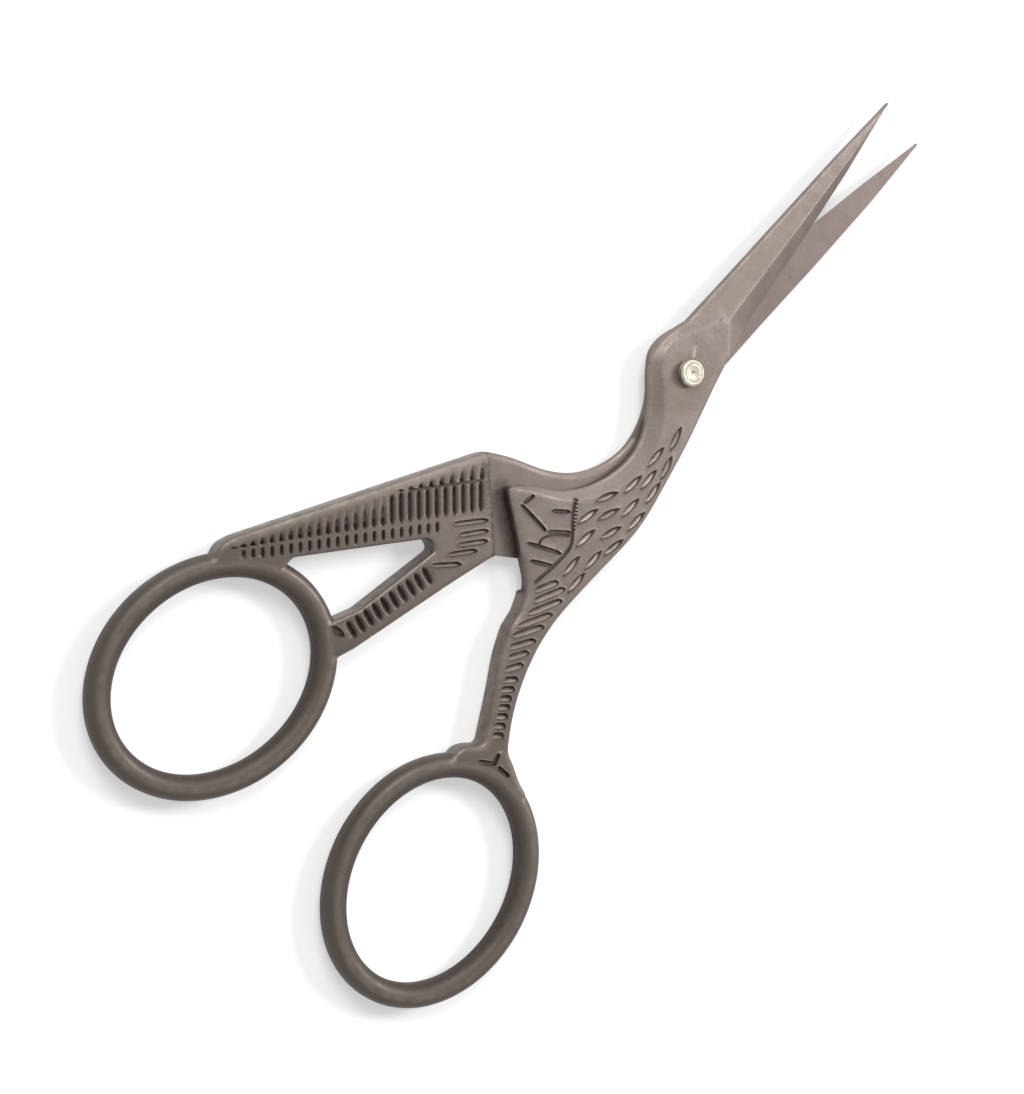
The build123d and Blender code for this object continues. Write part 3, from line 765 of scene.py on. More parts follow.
def face_relief(points, half, facets, rounds, strokes):
    """Height of one full-depth face over the joint; the dirt and painted shade in its strokes and on its
    ring; its wear and painted highlights.
    """
    z = np.full(len(points), PLATEAU)
    for ground in facets:
        on_rim = reach(points, ground["rim"])[0] < ON_RIM
        where = np.flatnonzero(inside(points, ground["outline"]) | on_rim)
        crest_gap, crest_z = reach(points[where], ground["crest"])
        rim_gap, rim_z = reach(points[where], ground["rim"])
        share = crest_gap / np.maximum(crest_gap + rim_gap, 1e-9)
        share = share**2 / (share + CREST_SOFTNESS) * (1 + CREST_SOFTNESS)
        z[where] = np.minimum(z[where], crest_z + (rim_z - crest_z) * share)
    drop, edge = rounding(points, rounds)
    # Painted highlight over a facet, rising towards the tip.
    for ground in facets:
        if ground["painted_highlight"]:
            ground_here = inside(points, ground["outline"]) * smooth(points[:, 0], *FACET_HIGHLIGHT_RUN)
            edge = np.maximum(edge, ground["painted_highlight"] * ground_here)
    if facets:
        # A light line along the slope's crest: partly wear, partly painted highlight.
        crest_gap, _ = reach(points, half.crest)
        edge = np.maximum(edge, CREST_WEAR_HIGHLIGHT * (1 - smooth(crest_gap, *CREST_WEAR_HIGHLIGHT_RUN)))
    cut, dirt_and_shade, bare = np.zeros((3, len(points)))
    for stroke in strokes:
        depth, settled_and_shaded, shine = stroke.cut(points)
        stronger = np.abs(depth * stroke.depth) > np.abs(cut)
        cut[stronger] = (depth * stroke.depth)[stronger]
        dirt_and_shade = np.maximum(dirt_and_shade, settled_and_shaded)
        bare = np.maximum(bare, shine)
    body = np.maximum(z - drop - cut, TIP_LAND)
    share = ring_share(points, half)
    on_ring = (share > -RING_MARGIN) & (share < 1 + RING_MARGIN)
    ring_z = ring_rise(np.clip(share, 0, 1)) - LAP_GAP / 2
    over = half.in_body & (share < RING_CREST)
    body = np.where(on_ring & over, np.maximum(body, ring_z), np.where(on_ring, ring_z, body))
    # The ring's crest is lightened: partly wear, partly painted highlight.
    crest_wear_and_highlight = RING_CREST_WEAR_HIGHLIGHT[0] * (1 - smooth(np.abs(share - RING_CREST), 0, RING_CREST_WEAR_HIGHLIGHT[1]))
    edge = np.where(on_ring & ~over, crest_wear_and_highlight, np.maximum(edge * EDGE_SHARE, bare))
    # Painted shade on the ring's inner side towards its hole, and darker towards its outer side.
    ring_darkening = RING_HOLE_SHADE * smooth(share, *RING_HOLE_SHADE_RUN) + RING_OUTER_DARK * (1 - smooth(share, *RING_OUTER_DARK_RUN))
    return body, np.where(on_ring & ~over, ring_darkening, dirt_and_shade), edge


def inward_row(line, outline, distance):
    """Runs of plan points that keep a distance inside a piece of the outline."""
    span = np.gradient(line[:, :2], axis=0)
    span /= np.maximum(np.linalg.norm(span, axis=1), 1e-9)[:, None]
    row = line[:, :2] + np.c_[-span[:, 1], span[:, 0]] * distance
    if inside(row, outline).mean() < 0.5:
        row = line[:, :2] - np.c_[-span[:, 1], span[:, 0]] * distance
    good = (reach(row, line)[0] > distance * ROW_KEPT) & inside(row, outline)
    pieces, piece = [], []
    for point, keep in zip(row, good):
        if keep:
            piece.append(point)
        elif piece:
            pieces.append(piece)
            piece = []
    return [p for p in pieces + [piece] if len(p) > 1]


def even(line, count):
    """The same run with a number of evenly spaced points."""
    along = lengths(line)
    at = np.linspace(0, along[-1], count)
    return np.c_[np.interp(at, along, line[:, 0]), np.interp(at, along, line[:, 1])]


def plan_triangles(half):
    """Cuts a half's plan into triangles that follow its outline, facets, ring, step and strokes."""
    points, links = [], []

    def add_run(line, closed=False):
        first = len(points)
        points.extend(np.array(line)[:, :2])
        links.extend((k, k + 1) for k in range(first, len(points) - 1))
        if closed:
            links.append((len(points) - 1, first))

    add_run(half.outline, True)
    for hole in half.holes + half.circles:
        add_run(hole, True)
    around = np.linspace(0, 360, RING_SIDES, endpoint=False)
    for share in [0, *RING_ROWS, 1]:
        add_run(ring_points(half.ring, half.ring_turn, around, share * RING_STOCK), True)
    for ground in half.facets:
        add_run(ground["crest"])
        count = int(len(ground["crest"]) * FACET_FINENESS)
        crest, rim = even(ground["crest"], count), even(ground["rim"], count)
        for share in FACET_ROWS:
            add_run(crest + (rim - crest) * share)
    for stroke in half.outer_strokes + half.inner_strokes:
        for loop in stroke.loops():
            add_run(loop, True)
    add_run(half.step)
    for line, radius in half.outer_rounds + half.inner_rounds + half.lap_rounds:
        for share in ROUND_ROWS:
            for row in inward_row(line, half.outline, radius * share):
                add_run(row)
    low, high = half.outline.min(0), half.outline.max(0)
    grid = []
    for index, y in enumerate(np.arange(low[1], high[1], GRID_STEP * math.sqrt(0.75))):
        grid.extend((x, y) for x in np.arange(low[0] + (index % 2) * GRID_STEP / 2, high[0], GRID_STEP))
    grid = np.array(grid)
    everything = np.r_[np.array(points), grid[inside(grid, half.outline)]]
    verts, _, faces, *_ = delaunay_2d_cdt([Vector(p) for p in everything], links, [], 0, 1e-4, False)
    verts, faces = np.array([tuple(v) for v in verts]), np.array(faces)
    middle = verts[faces].mean(axis=1)
    share = ring_share(middle, half)
    solid = inside(middle, half.outline)
    for hole in half.holes:
        solid &= ~inside(middle, hole)
    solid &= ~((share > 1) & (np.hypot(*(middle - half.ring).T) < RING_LONG))
    solid |= (share > 0) & (share < 1)
    faces = faces[solid]
    used = np.unique(faces)
    index = np.full(len(verts), -1)
    index[used] = np.arange(len(used))
    return verts[used], index[faces]


def lying_on(points, loop):
    """Which points lie on a closed run."""
    return reach(points, run(loop, loop[0]))[0] < ON_OUTLINE


def ledge_shade_and_dirt(points, half):
    """Painted shade on the recessed ledge: darkest in the seam along the step, partly dirt there, a little
    over the ledge near the step, and a painted shadow where the breast stands beside it.
    """
    gap, _ = reach(points, half.step)
    seam = np.maximum(1 - smooth(gap, SEAM_CORE, SEAM), LEDGE_SHADE * (1 - smooth(gap, 0, LEDGE_REACH)))
    # Painted shadow where the breast stands beside the ledge.
    stand = np.array([turned(place(share), OPENING) for share in (BREAST_LOW_SHARE, BREAST_TOP_SHARE)])
    return np.maximum(seam, BREAST_SHADOW * (1 - smooth(reach(points, stand)[0], *BREAST_SHADOW_RUN)))


def store(mesh, title, values, domain="POINT"):
    """Stores one value for each point or face of a mesh."""
    attribute = mesh.attributes.new(title, "FLOAT", domain)
    attribute.data.foreach_set("value", np.ascontiguousarray(values, np.float32))


def forging(name, half):
    """Builds one half as a closed mesh from its plan, its faces and the walls between them."""
    points, faces = plan_triangles(half)
    half.in_body = inside(points, half.outline) | lying_on(points, half.outline)
    for hole in half.holes:
        half.in_body &= ~inside(points, hole) | lying_on(points, hole)
    outer, *outer_marks = face_relief(points, half, half.facets, half.outer_rounds, half.outer_strokes)
    inner, *inner_marks = face_relief(points, half, [], half.inner_rounds, half.inner_strokes)
    lap, lap_edge = rounding(points, half.lap_rounds)
    # Painted shade in the seam along the step, on the inner face.
    seam = 1 - smooth(reach(points, half.step)[0], SEAM_CORE, INNER_SEAM)
    relief = {
        "outer": (outer - half.outer_dent(points), *outer_marks),
        "inner": (-inner - LAP_GAP, np.maximum(inner_marks[0], seam), inner_marks[1] * (1 - seam)),
        "lap": (lap, ledge_shade_and_dirt(points, half), lap_edge * EDGE_SHARE),
    }
    middle = points[faces].mean(axis=1)
    share = ring_share(middle, half)
    full = half.full(middle) | ((share > 0) & (share < 1))
    layers = np.where(full, "inner", "lap")

    verts, marks, index = [], [], {}

    def vertex(point, layer):
        key = (point, layer)
        if key not in index:
            index[key] = len(verts)
            z, dirt_and_shade, wear_and_highlight = (values[point] for values in relief[layer])
            verts.append((points[point][0], points[point][1], z))
            marks.append((dirt_and_shade, wear_and_highlight))
        return index[key]

    polygons, sides = [], {}
    for (a, b, c), layer in zip(faces, layers):
        u, v = points[b] - points[a], points[c] - points[a]
        if u[0] * v[1] - u[1] * v[0] < 0:
            b, c = c, b
        polygons.append([vertex(a, "outer"), vertex(b, "outer"), vertex(c, "outer")])
        polygons.append([vertex(a, layer), vertex(c, layer), vertex(b, layer)])
        for start, end in ((a, b), (b, c), (c, a)):
            sides.setdefault((min(start, end), max(start, end)), []).append((start, end, layer))
    face_count = len(polygons)

    def column(point, layer):
        """The mesh's points down a wall, from the outer face to the layer that the wall ends on."""
        between = [vertex(point, "lap")] if layer == "inner" and (point, "lap") in index else []
        return [vertex(point, "outer"), *between, vertex(point, layer)]

    for edge in sides.values():
        start, end, layer = edge[0]
        if len(edge) == 1:
            polygons.append([*column(start, layer), *column(end, layer)[::-1]])
        elif layer != edge[1][2]:
            start, end, layer = edge[0] if layer == "inner" else edge[1]
            around = [(start, "lap"), (start, "inner"), (end, "inner"), (end, "lap")]
            polygons.append([vertex(*corner) for corner in around])

    mesh = bpy.data.meshes.new(name)
    if isinstance(half, WingHalf):
        polygons = [polygon[::-1] for polygon in polygons]
    mesh.from_pydata([tuple(np.array(half.to_frame(v)) * MM) for v in verts], [], polygons)
    marks = np.clip(np.array(marks, np.float32), 0, 1)
    store(mesh, "dirt_and_shade", marks[:, 0])
    store(mesh, "wear_and_highlight", marks[:, 1])
    store(mesh, "side_wall", np.arange(len(polygons)) >= face_count, "FACE")
    mesh.shade_smooth()
    mesh.set_sharp_from_angle(angle=math.radians(SHARP_ANGLE))
    piece = bpy.data.objects.new(name, mesh)
    bpy.context.scene.collection.objects.link(piece)
    return piece


# Camera, from the photograph: the scissors' plane is turned and tipped against the image
YAW, PITCH, BLADE_RISE = math.radians(27), math.radians(-3), math.radians(44.61)
FOCAL_PIXELS = 2500
PIN_DISTANCE = 270
PIN_PIXEL = (693.6, 373.1)
IMAGE_WIDTH, IMAGE_HEIGHT = 1024, 1094
SENSOR = 36.0

facing = np.array([math.sin(YAW) * math.cos(PITCH), -math.sin(PITCH), -math.cos(YAW) * math.cos(PITCH)])
image_right = np.array([1.0, 0, 0]) - facing[0] * facing
image_right /= np.linalg.norm(image_right)
image_up = np.cross(facing, image_right)
if image_up[1] > 0:
    image_up = -image_up
frame_x = image_right * math.cos(BLADE_RISE) + image_up * math.sin(BLADE_RISE)
frame_y = -image_right * math.sin(BLADE_RISE) + image_up * math.cos(BLADE_RISE)
FRAME_AXES = np.array([frame_x, frame_y, facing])


def from_view(right, up, out):
    """A direction given as the photograph shows it, turned into the frame's own axes."""
    c, s = math.cos(BLADE_RISE), math.sin(BLADE_RISE)
    return Vector((right * c + up * s, -right * s + up * c, out)).normalized()


def make_camera():
    ray = np.array([
        (PIN_PIXEL[0] - IMAGE_WIDTH / 2) / FOCAL_PIXELS,
        (PIN_PIXEL[1] - IMAGE_HEIGHT / 2) / FOCAL_PIXELS,
        1.0,
    ])
    pin_top = np.array([0, 0, THICKNESS + PIN_PROUD])
    position = pin_top - FRAME_AXES @ (ray * PIN_DISTANCE)
    data = bpy.data.cameras.new("camera")
    data.sensor_width = SENSOR
    data.lens = FOCAL_PIXELS / IMAGE_HEIGHT * SENSOR
    data.clip_start, data.clip_end = 0.01, 10
    camera = bpy.data.objects.new("camera", data)
    right, down, ahead = FRAME_AXES.T
    camera.matrix_world = Matrix.Translation(Vector(position * MM)) @ Matrix(
        [right, -down, -ahead]
    ).transposed().to_4x4()
    bpy.context.scene.collection.objects.link(camera)
    bpy.context.scene.camera = camera


# Node helpers
class Nodes:
    """A node tree with short ways to add and join nodes."""

    def __init__(self, tree):
        self.tree = tree

    def add(self, kind, inputs=None, **settings):
        node = self.tree.nodes.new("ShaderNode" + kind)
        for name, value in settings.items():
            setattr(node, name, value)
        for name, value in (inputs or {}).items():
            self.feed(node.inputs[name], value)
        return node

    def feed(self, socket, value):
        if isinstance(value, bpy.types.NodeSocket):
            self.tree.links.new(value, socket)
        else:
            socket.default_value = value

    def maths(self, operation, *values, clamp=False):
        return self.add("Math", dict(enumerate(values)), operation=operation, use_clamp=clamp).outputs[0]

    def times(self, *values, clamp=False):
        return self.maths("MULTIPLY", *values, clamp=clamp)

    def plus(self, *values):
        return self.maths("ADD", *values)

    def vector(self, operation, *values):
        node = self.add("VectorMath", dict(enumerate(values)), operation=operation)
        return node.outputs["Value" if operation == "LENGTH" else "Vector"]

    def mixed(self, share, first, second):
        node = self.add("Mix", data_type="RGBA")
        for name, value in (("Factor", share), ("A", first), ("B", second)):
            self.feed(next(i for i in node.inputs if i.name == name and i.enabled), value)
        return next(o for o in node.outputs if o.enabled)

    def spread(self, value, low, high, start=0.0, end=1.0):
        inputs = {"Value": value, "From Min": low, "From Max": high, "To Min": start, "To Max": end}
        return self.add("MapRange", inputs, interpolation_type="SMOOTHSTEP").outputs["Result"]

    def noise(self, place_on, scale, detail=3.0, distortion=0.0):
        inputs = {"Vector": place_on, "Scale": scale, "Detail": detail, "Distortion": distortion}
        return self.add("TexNoise", inputs).outputs["Fac"]

    def stored(self, title):
        """A value that the mesh carries."""
        return self.add("Attribute", attribute_name=title).outputs["Fac"]

    def seen(self):
        """1 for what the camera sees, also in a reflection or through a clear piece, else 0."""
        rays = self.add("LightPath").outputs
        first = self.maths("MAXIMUM", rays["Is Camera Ray"], rays["Is Glossy Ray"])
        return self.maths("MAXIMUM", first, rays["Is Transmission Ray"])


def make_group(name, inputs, outputs):
    """An empty shader node group with its named inputs and outputs."""
    group = bpy.data.node_groups.new(name, "ShaderNodeTree")
    for side, sockets in (("INPUT", inputs), ("OUTPUT", outputs)):
        for title, kind in sockets.items():
            group.interface.new_socket(title, in_out=side, socket_type="NodeSocket" + kind)
    given = group.nodes.new("NodeGroupInput").outputs
    return group, Nodes(group), given, group.nodes.new("NodeGroupOutput").inputs


# Noise in the node groups: its scale, detail and strength, the low and high values that are spread,
# and for patches what these two become
CLOUD_DETAIL, CLOUD_TWIST, CLOUD_RUN, SPECK_FINER = 6.0, 0.4, (0.34, 0.68), 11.0
BROAD_FINER, BROAD_SHARE, PIT_RUN = 0.22, 0.6, (0.32, 0.22)
WEAR_HIGHLIGHT_NOISE, WEAR_HIGHLIGHT_DETAIL, WEAR_HIGHLIGHT_PATCHES = 900.0, 4.0, (0.3, 0.7, 0.35, 1.0)
DIRT_SHADE_NOISE, DIRT_SHADE_DETAIL, DIRT_SHADE_PATCHES = 1300.0, 3.0, (0.3, 0.75, 1.0, 0.6)
MARK_NOISE, MARK_UNEVENNESS, MARK_RUN = 2600.0, 0.9, (1.5, 1.0)


def mottling_group():
    """Cloudy change of tone with fine specks, as on a coating that took unevenly."""
    group, nodes, given, out = make_group(
        "mottled_tone",
        {"Place": "Vector", "Light": "Color", "Dark": "Color", "Cloud Scale": "Float", "Speck": "Float"},
        {"Color": "Color", "Mask": "Float"},
    )
    cloud = nodes.noise(given["Place"], given["Cloud Scale"], CLOUD_DETAIL, CLOUD_TWIST)
    speck = nodes.noise(given["Place"], nodes.times(given["Cloud Scale"], SPECK_FINER), 2.0)
    tone = nodes.plus(cloud, nodes.times(nodes.maths("SUBTRACT", speck, 0.5), given["Speck"]))
    mask = nodes.spread(tone, *CLOUD_RUN)
    nodes.feed(out["Color"], nodes.mixed(mask, given["Dark"], given["Light"]))
    nodes.feed(out["Mask"], mask)
    return group


def grain_group():
    """The fine sandy grain of a blasted and coated face, as a height."""
    group, nodes, given, out = make_group(
        "blasted_grain", {"Place": "Vector", "Scale": "Float", "Pits": "Float"}, {"Height": "Float"}
    )
    fine = nodes.noise(given["Place"], given["Scale"], 3.0)
    broad = nodes.noise(given["Place"], nodes.times(given["Scale"], BROAD_FINER), 2.0)
    pit = nodes.times(nodes.spread(broad, *PIT_RUN), given["Pits"])
    height = nodes.plus(fine, nodes.times(broad, BROAD_SHARE))
    nodes.feed(out["Height"], nodes.maths("SUBTRACT", height, pit))
    return group


def layer_group(name, tint, strength, scale, detail, patches):
    """A second colour over the first one where a stored value is high, broken up by noise."""
    group, nodes, given, out = make_group(
        name,
        {"Place": "Vector", "Color": "Color", tint: "Color", strength: "Float", "Amount": "Float"},
        {"Color": "Color", "Mask": "Float"},
    )
    patchy = nodes.spread(nodes.noise(given["Place"], scale, detail), *patches)
    mask = nodes.times(nodes.times(given[strength], patchy), given["Amount"], clamp=True)
    nodes.feed(out["Color"], nodes.mixed(mask, given["Color"], given[tint]))
    nodes.feed(out["Mask"], mask)
    return group


def mark_group():
    """One mark on a surface: an uneven oval spot at a place, with its own size."""
    group, nodes, given, out = make_group(
        "small_mark", {"Place": "Vector", "Centre": "Vector", "Size": "Vector"}, {"Mask": "Float"}
    )
    offset = nodes.vector("SUBTRACT", given["Place"], given["Centre"])
    away = nodes.vector("LENGTH", nodes.vector("DIVIDE", offset, given["Size"]))
    uneven = nodes.plus(away, nodes.times(nodes.noise(given["Place"], MARK_NOISE), MARK_UNEVENNESS))
    nodes.feed(out["Mask"], nodes.spread(uneven, *MARK_RUN))
    return group


def make_material(name):
    material = bpy.data.materials.new(name)
    material.use_nodes = True
    nodes = Nodes(material.node_tree)
    nodes.tree.nodes.clear()
    shader = nodes.add("BsdfPrincipled")
    nodes.feed(nodes.add("OutputMaterial").inputs["Surface"], shader.outputs[0])
    return material, nodes, shader


def use(nodes, group, **inputs):
    """Puts a node group into a material. A gap in an input's name is written as an underscore."""
    node = nodes.add("Group", node_tree=group)
    for name, value in inputs.items():
        nodes.feed(node.inputs[name.replace("_", " ")], value)
    return node.outputs


def add_grain(nodes, shader, group, spot, scale, pits, strength, depth):
    """Gives a material its grain, which only bends the light."""
    grain = use(nodes, group, Place=spot, Scale=scale, Pits=pits)
    bump = nodes.add("Bump", {"Strength": strength, "Distance": depth * MM, "Height": grain["Height"]})
    nodes.feed(shader.inputs["Normal"], bump.outputs[0])


# Marks and one broad stain, in the frame's millimetres: place, size, colour and strength
LEG_MARKS = [
    ((1.7, 0.95, 3.0), (0.28, 0.2, 1.5), (0.5, 0.49, 0.42), 0.75),
    ((2.0, 1.2, 3.0), (0.36, 0.28, 1.5), (0.45, 0.44, 0.38), 0.65),
    ((2.35, 1.5, 3.0), (0.4, 0.3, 1.5), (0.4, 0.39, 0.34), 0.5),
    ((2.95, 1.75, 3.0), (0.1, 0.1, 1.5), (0.04, 0.03, 0.03), 0.8),
    ((1.5, -2.07, 3.0), (0.14, 0.12, 1.5), (0.05, 0.035, 0.045), 0.8),
    ((2.45, -1.79, 3.0), (0.12, 0.12, 1.5), (0.06, 0.045, 0.07), 0.8),
    ((7.0, 1.3, 3.0), (0.5, 0.22, 1.5), (0.09, 0.1, 0.13), 0.6),
    ((-1.0, -0.6, 3.0), (5.5, 3.4, 3.0), (0.165, 0.117, 0.095), 0.4),
]
WING_MARKS = [
    ((8.05, -1.7, 1.5), (0.16, 0.16, 0.8), (0.55, 0.5, 0.4), 0.8),
    ((8.0, -2.2, 1.5), (0.1, 0.14, 0.8), (0.05, 0.03, 0.03), 0.7),
    ((17.4, -2.05, 1.5), (0.12, 0.12, 0.8), (0.05, 0.03, 0.03), 0.7),
]
BLADE_LIGHT, BLADE_DARK = (0.236, 0.191, 0.172, 1), (0.2, 0.161, 0.145, 1)
# Dirt with painted shade, and wear with painted highlights.
DIRT_AND_SHADE_COLOUR, WORN_AND_LIT_COLOUR = (0.03, 0.022, 0.019, 1), (0.46, 0.39, 0.33, 1)
# Painted shade on the side walls.
WALL_SHADE_COLOUR = (0.07, 0.052, 0.045, 1)
# Painted shade towards the handles, and the rear blade's browner colour.
HANDLE_SHADE_COLOUR, REAR_COLOUR = (0.088, 0.07, 0.057, 1), (0.145, 0.108, 0.101, 1)
STEEL_LIGHT, STEEL_DARK = (0.6, 0.56, 0.455, 1), (0.38, 0.352, 0.28, 1)
STEEL_DIRT_AND_SHADE, STEEL_WORN = (0.05, 0.045, 0.035, 1), (0.74, 0.7, 0.58, 1)
COATING_ROUGHNESS, STEEL_ROUGHNESS = (0.5, 0.43), (0.33, 0.7)
WORN_AND_LIT_SMOOTHER, DIRT_AND_SHADE_ROUGHER = 0.25, 0.2

# Along the scissors, in metres: where the rear blade turns brown, where the painted shade on the handles
# sets in, and where the painted shade on the side walls grows, which has its first and last strength as
# well
BROWN_RUN = (0.003, 0.009)
HANDLE_SHADE_RUN = (-0.008, -0.062)
WALL_SHADE_RUN, WALL_SHADE_STRENGTHS = (0.002, -0.016), (0.25, 0.75)


def coated_steel(name, groups, marks, rear_brown=0.0):
    """The matt brown-grey coating of a forging: painted shade towards the handles and on the side walls,
    rubbed light on its edges, with painted highlights along crests and on a facet.
    """
    material, nodes, shader = make_material(name)
    spot = nodes.add("TexCoord").outputs["Object"]
    tone = use(nodes, groups["mottling"], Place=spot, Light=BLADE_LIGHT, Dark=BLADE_DARK,
               Cloud_Scale=420.0, Speck=0.9)
    along = nodes.add("SeparateXYZ", {0: spot}).outputs["X"]
    browned = nodes.times(nodes.spread(along, *BROWN_RUN), rear_brown)
    colour = nodes.mixed(browned, tone["Color"], REAR_COLOUR)
    # Painted shade: darker towards the handles and rings.
    colour = nodes.mixed(nodes.spread(along, *HANDLE_SHADE_RUN), colour, HANDLE_SHADE_COLOUR)
    # Painted shade on the side walls, stronger towards the handles.
    wall_shade = nodes.times(nodes.stored("side_wall"), nodes.spread(along, *WALL_SHADE_RUN, *WALL_SHADE_STRENGTHS))
    colour = nodes.mixed(wall_shade, colour, WALL_SHADE_COLOUR)
    # Wear with painted highlights lightens the colour.
    worn_and_lit = use(nodes, groups["wear_and_highlight"], Place=spot, Color=colour, Worn=WORN_AND_LIT_COLOUR,
               Nearness=nodes.stored("wear_and_highlight"), Amount=0.55)
    # Dirt with painted shade darkens the colour.
    soiled_and_shaded = use(nodes, groups["dirt_and_shade"], Place=spot, Color=worn_and_lit["Color"], Dirt=DIRT_AND_SHADE_COLOUR,
                 Depth=nodes.stored("dirt_and_shade"), Amount=0.85)
    colour = soiled_and_shaded["Color"]
    for centre, size, tint, strength in marks:
        centre, size = [c * MM for c in centre], [c * MM for c in size]
        mark = use(nodes, groups["mark"], Place=spot, Centre=centre, Size=size)
        colour = nodes.mixed(nodes.times(mark["Mask"], strength), colour, (*tint, 1))
    nodes.feed(shader.inputs["Base Color"], colour)
    shader.inputs["Metallic"].default_value = 0.5
    coating = nodes.spread(tone["Mask"], 0.0, 1.0, *COATING_ROUGHNESS)
    rubbed = nodes.maths("SUBTRACT", coating, nodes.times(worn_and_lit["Mask"], WORN_AND_LIT_SMOOTHER))
    nodes.feed(shader.inputs["Roughness"], nodes.plus(rubbed, nodes.times(soiled_and_shaded["Mask"], DIRT_AND_SHADE_ROUGHER)))
    add_grain(nodes, shader, groups["grain"], spot, scale=5200.0, pits=0.5, strength=0.22, depth=0.04)
    return material


def bright_steel(groups):
    """The pale nickel of the pivot screw: mottled, rubbed round its tail, with painted shade at its foot,
    in its dent and on its tail's side.
    """
    material, nodes, shader = make_material("bright_steel")
    spot = nodes.add("TexCoord").outputs["Object"]
    tone = use(nodes, groups["mottling"], Place=spot, Light=STEEL_LIGHT, Dark=STEEL_DARK,
               Cloud_Scale=900.0, Speck=0.7)
    worn_and_lit = use(nodes, groups["wear_and_highlight"], Place=spot, Color=tone["Color"], Worn=STEEL_WORN,
               Nearness=nodes.stored("wear_and_highlight"), Amount=0.8)
    # Dirt with painted shade darkens the colour.
    soiled_and_shaded = use(nodes, groups["dirt_and_shade"], Place=spot, Color=worn_and_lit["Color"], Dirt=STEEL_DIRT_AND_SHADE,
                 Depth=nodes.stored("dirt_and_shade"), Amount=0.9)
    nodes.feed(shader.inputs["Base Color"], soiled_and_shaded["Color"])
    shader.inputs["Metallic"].default_value = 0.85
    nodes.feed(shader.inputs["Roughness"], nodes.spread(soiled_and_shaded["Mask"], 0.0, 1.0, *STEEL_ROUGHNESS))
    add_grain(nodes, shader, groups["grain"], spot, scale=3600.0, pits=0.8, strength=0.3, depth=0.05)
    return material


# Floor, surroundings and lamps. A lamp has its direction as the photograph shows it, right, up and
# towards the viewer, then its distance and size in metres and its power in watts
FLOOR_SIZE, FLOOR_TONE, FLOOR_GLOW, WORLD_STRENGTH = 1.1, 0.8, 0.45, 0.25
LAMPS = [
    ("soft_side", from_view(1.0, 0.35, 0.8), 0.9, 0.28, 5.0),
    ("soft_top", from_view(-0.2, 0.8, 0.85), 0.9, 0.5, 4.2),
]


def floor_and_light():
    bpy.ops.mesh.primitive_plane_add(size=FLOOR_SIZE, location=(0, 0, -FLOOR_DROP * MM))
    floor = bpy.context.object
    floor.name = "floor"
    material, nodes, shader = make_material("pale_floor")
    shader.inputs["Base Color"].default_value = (FLOOR_TONE, FLOOR_TONE, FLOOR_TONE, 1)
    shader.inputs["Roughness"].default_value = 0.85
    shader.inputs["Emission Color"].default_value = (1, 1, 1, 1)
    nodes.feed(shader.inputs["Emission Strength"], nodes.times(nodes.seen(), FLOOR_GLOW))
    floor.data.materials.append(material)

    world = bpy.data.worlds.new("studio")
    bpy.context.scene.world = world
    world.use_nodes = True
    background = world.node_tree.nodes["Background"].inputs
    background["Color"].default_value = (1, 1, 1, 1)
    nodes = Nodes(world.node_tree)
    strength = nodes.plus(nodes.times(nodes.seen(), 1 - WORLD_STRENGTH), WORLD_STRENGTH)
    nodes.feed(background["Strength"], strength)

    for name, direction, distance, size, power in LAMPS:
        data = bpy.data.lights.new(name, "AREA")
        data.shape = "SQUARE"
        data.size = size
        data.energy = power
        lamp = bpy.data.objects.new(name, data)
        lamp.location = direction * distance
        lamp.rotation_euler = direction.to_track_quat("Z", "Y").to_euler()
        bpy.context.scene.collection.objects.link(lamp)


# The screw's outline from the middle of its head, up its shank, to the middle of its peened tail:
# radius and height in millimetres
TAIL_TOP = THICKNESS + PIN_PROUD
ROUND_MARK, TAIL_GROOVE, RUBBED_RADIUS = 1.02, 0.52, PIN_RADIUS - 0.2
SCREW_OUTLINE = [
    (0, HEAD_RECESS), (HEAD_RADIUS - 0.08, HEAD_RECESS), (HEAD_RADIUS, HEAD_RECESS + 0.05),
    (HEAD_RADIUS, HEAD_RECESS + HEAD_RIM), (PIN_RADIUS, HEAD_SINK),
    (PIN_RADIUS, TAIL_TOP - 0.62), (PIN_RADIUS - 0.1, TAIL_TOP - 0.55),
    (PIN_RADIUS - 0.1, TAIL_TOP - 0.48), (PIN_RADIUS, TAIL_TOP - 0.4), (PIN_RADIUS, TAIL_TOP - 0.22),
    (PIN_RADIUS - 0.05, TAIL_TOP - 0.15), (PIN_RADIUS - 0.13, TAIL_TOP - 0.14),
    (PIN_RADIUS - 0.15, TAIL_TOP - 0.06), (PIN_RADIUS - 0.24, TAIL_TOP),
    (1.1, TAIL_TOP), (ROUND_MARK, TAIL_TOP - 0.03), (0.94, TAIL_TOP - 0.005),
    (0.85, TAIL_TOP - 0.005), (0.55, TAIL_TOP - 0.03), (0.26, TAIL_TOP - 0.06), (0.13, TAIL_TOP - 0.16),
    (0, TAIL_TOP - 0.24),
]
SCREW_SIDES, TAIL_FLATS, FLAT_SHARE, FLAT_RUN, SCREW_SHARP_ANGLE = 72, 9, 0.03, (-0.3, -0.05), 28

# Dirt, painted shade and wear on the screw, and the distances over which each fades
DENT_SHADE, MARK_DIRT, TAIL_SIDE_SHADE, HEAD_DIRT = 0.35, 0.5, 0.45, 0.35
GROOVE_FADE, FOOT_FADE, DENT_FADE = (0.05, 0.2), (0.0, 0.3), (0.12, 0.27)
MARK_FADE, TAIL_SIDE_FADE, RUBBED_FADE = (0.01, 0.06), (-0.2, -0.1), (0.02, 0.15)


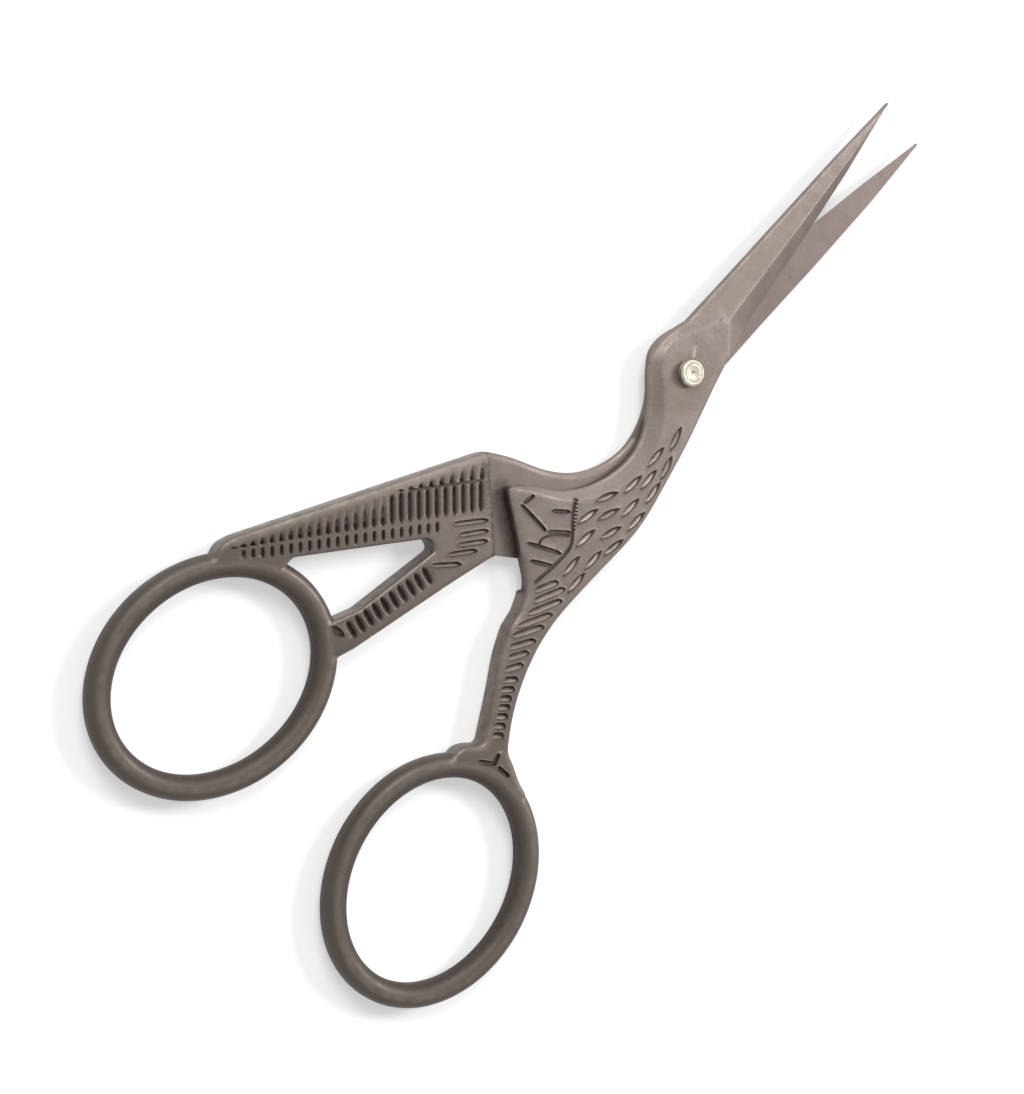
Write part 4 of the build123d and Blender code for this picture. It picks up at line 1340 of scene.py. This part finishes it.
def screw_mesh():
    """The pivot screw: a slotted countersunk head below, and a tail hammered into blunt flats on top."""
    shape = bmesh.new()
    rings = []
    for radius, height in SCREW_OUTLINE:
        if radius == 0:
            rings.append([shape.verts.new((0, 0, height * MM))])
            continue
        ring = []
        for side in range(SCREW_SIDES):
            angle = 2 * math.pi * side / SCREW_SIDES
            flat = smooth(height - TAIL_TOP, *FLAT_RUN) * FLAT_SHARE
            out = radius * (1 - flat * (1 + math.cos(TAIL_FLATS * angle)) / 2) * MM
            ring.append(shape.verts.new((out * math.cos(angle), out * math.sin(angle), height * MM)))
        rings.append(ring)
    for lower, upper in zip(rings, rings[1:]):
        for side in range(SCREW_SIDES):
            after = (side + 1) % SCREW_SIDES
            if len(lower) == 1:
                shape.faces.new((lower[0], upper[after], upper[side]))
            elif len(upper) == 1:
                shape.faces.new((lower[side], lower[after], upper[0]))
            else:
                shape.faces.new((lower[side], lower[after], upper[after], upper[side]))
    mesh = bpy.data.meshes.new("screw")
    shape.to_mesh(mesh)
    shape.free()
    return mesh


def pivot_screw():
    """The screw with the driver's slot cut across its head, its wear, its dirt and its painted shade."""
    piece = bpy.data.objects.new("screw", screw_mesh())
    bpy.ops.mesh.primitive_cube_add(size=1, location=(0, 0, (HEAD_RECESS + SLOT_DEPTH) * MM / 2))
    cutter = bpy.context.object
    cutter.scale = (SLOT_WIDTH * MM, 3 * HEAD_RADIUS * MM, (HEAD_RECESS + SLOT_DEPTH) * MM)
    bpy.context.scene.collection.objects.link(piece)
    cut = piece.modifiers.new("slot", "BOOLEAN")
    cut.object, cut.operation, cut.solver = cutter, "DIFFERENCE", "EXACT"
    bpy.context.view_layer.update()
    mesh = bpy.data.meshes.new_from_object(piece.evaluated_get(bpy.context.evaluated_depsgraph_get()))
    piece.modifiers.clear()
    piece.data = mesh
    bpy.data.objects.remove(cutter)
    points = np.array([v.co for v in mesh.vertices]) / MM
    radius, height = np.hypot(points[:, 0], points[:, 1]), points[:, 2]
    # Dirt in the groove and the round mark; painted shade at the foot, in the dent and on the tail's side.
    groove = 1 - smooth(np.abs(height - TAIL_TOP + TAIL_GROOVE), *GROOVE_FADE)
    foot = 1 - smooth(height - THICKNESS, *FOOT_FADE)
    dent = DENT_SHADE * (1 - smooth(radius, *DENT_FADE))
    round_mark = MARK_DIRT * (1 - smooth(np.abs(radius - ROUND_MARK), *MARK_FADE))
    side = TAIL_SIDE_SHADE * (1 - smooth(height - TAIL_TOP, *TAIL_SIDE_FADE))
    tail_dirt_and_shade = np.max([groove, foot, dent, round_mark, side], axis=0)
    rubbed = 1 - smooth(np.abs(radius - RUBBED_RADIUS), *RUBBED_FADE)
    store(mesh, "dirt_and_shade", np.where(height > THICKNESS / 2, tail_dirt_and_shade, HEAD_DIRT))
    store(mesh, "wear_and_highlight", np.where(height > THICKNESS, rubbed, 0))
    mesh.shade_smooth()
    mesh.set_sharp_from_angle(angle=math.radians(SCREW_SHARP_ANGLE))
    return piece


def dress(piece, body, node, material):
    """Gives a piece its body, the node that it stands for and its finish."""
    piece.data.materials.clear()
    piece.data.materials.append(material)
    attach(piece, body)
    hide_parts(node)


bpy.context.scene.view_settings.view_transform = "Standard"
make_camera()
groups = {
    "mottling": mottling_group(),
    "grain": grain_group(),
    # Layers over the coating: wear with painted highlights, and dirt with painted shade.
    "wear_and_highlight": layer_group("worn_and_highlit", "Worn", "Nearness", WEAR_HIGHLIGHT_NOISE, WEAR_HIGHLIGHT_DETAIL, WEAR_HIGHLIGHT_PATCHES),
    "dirt_and_shade": layer_group("dirt_and_painted_shade", "Dirt", "Depth", DIRT_SHADE_NOISE, DIRT_SHADE_DETAIL, DIRT_SHADE_PATCHES),
    "mark": mark_group(),
}
dress(forging("leg_forging", LegHalf()), "leg_body", "leg_half",
      coated_steel("coated_steel_leg", groups, LEG_MARKS))
dress(forging("wing_forging", WingHalf()), "wing_body", "wing_half",
      coated_steel("coated_steel_wing", groups, WING_MARKS, rear_brown=0.8))
dress(pivot_screw(), "leg_body", "pivot_screw", bright_steel(groups))
floor_and_light()
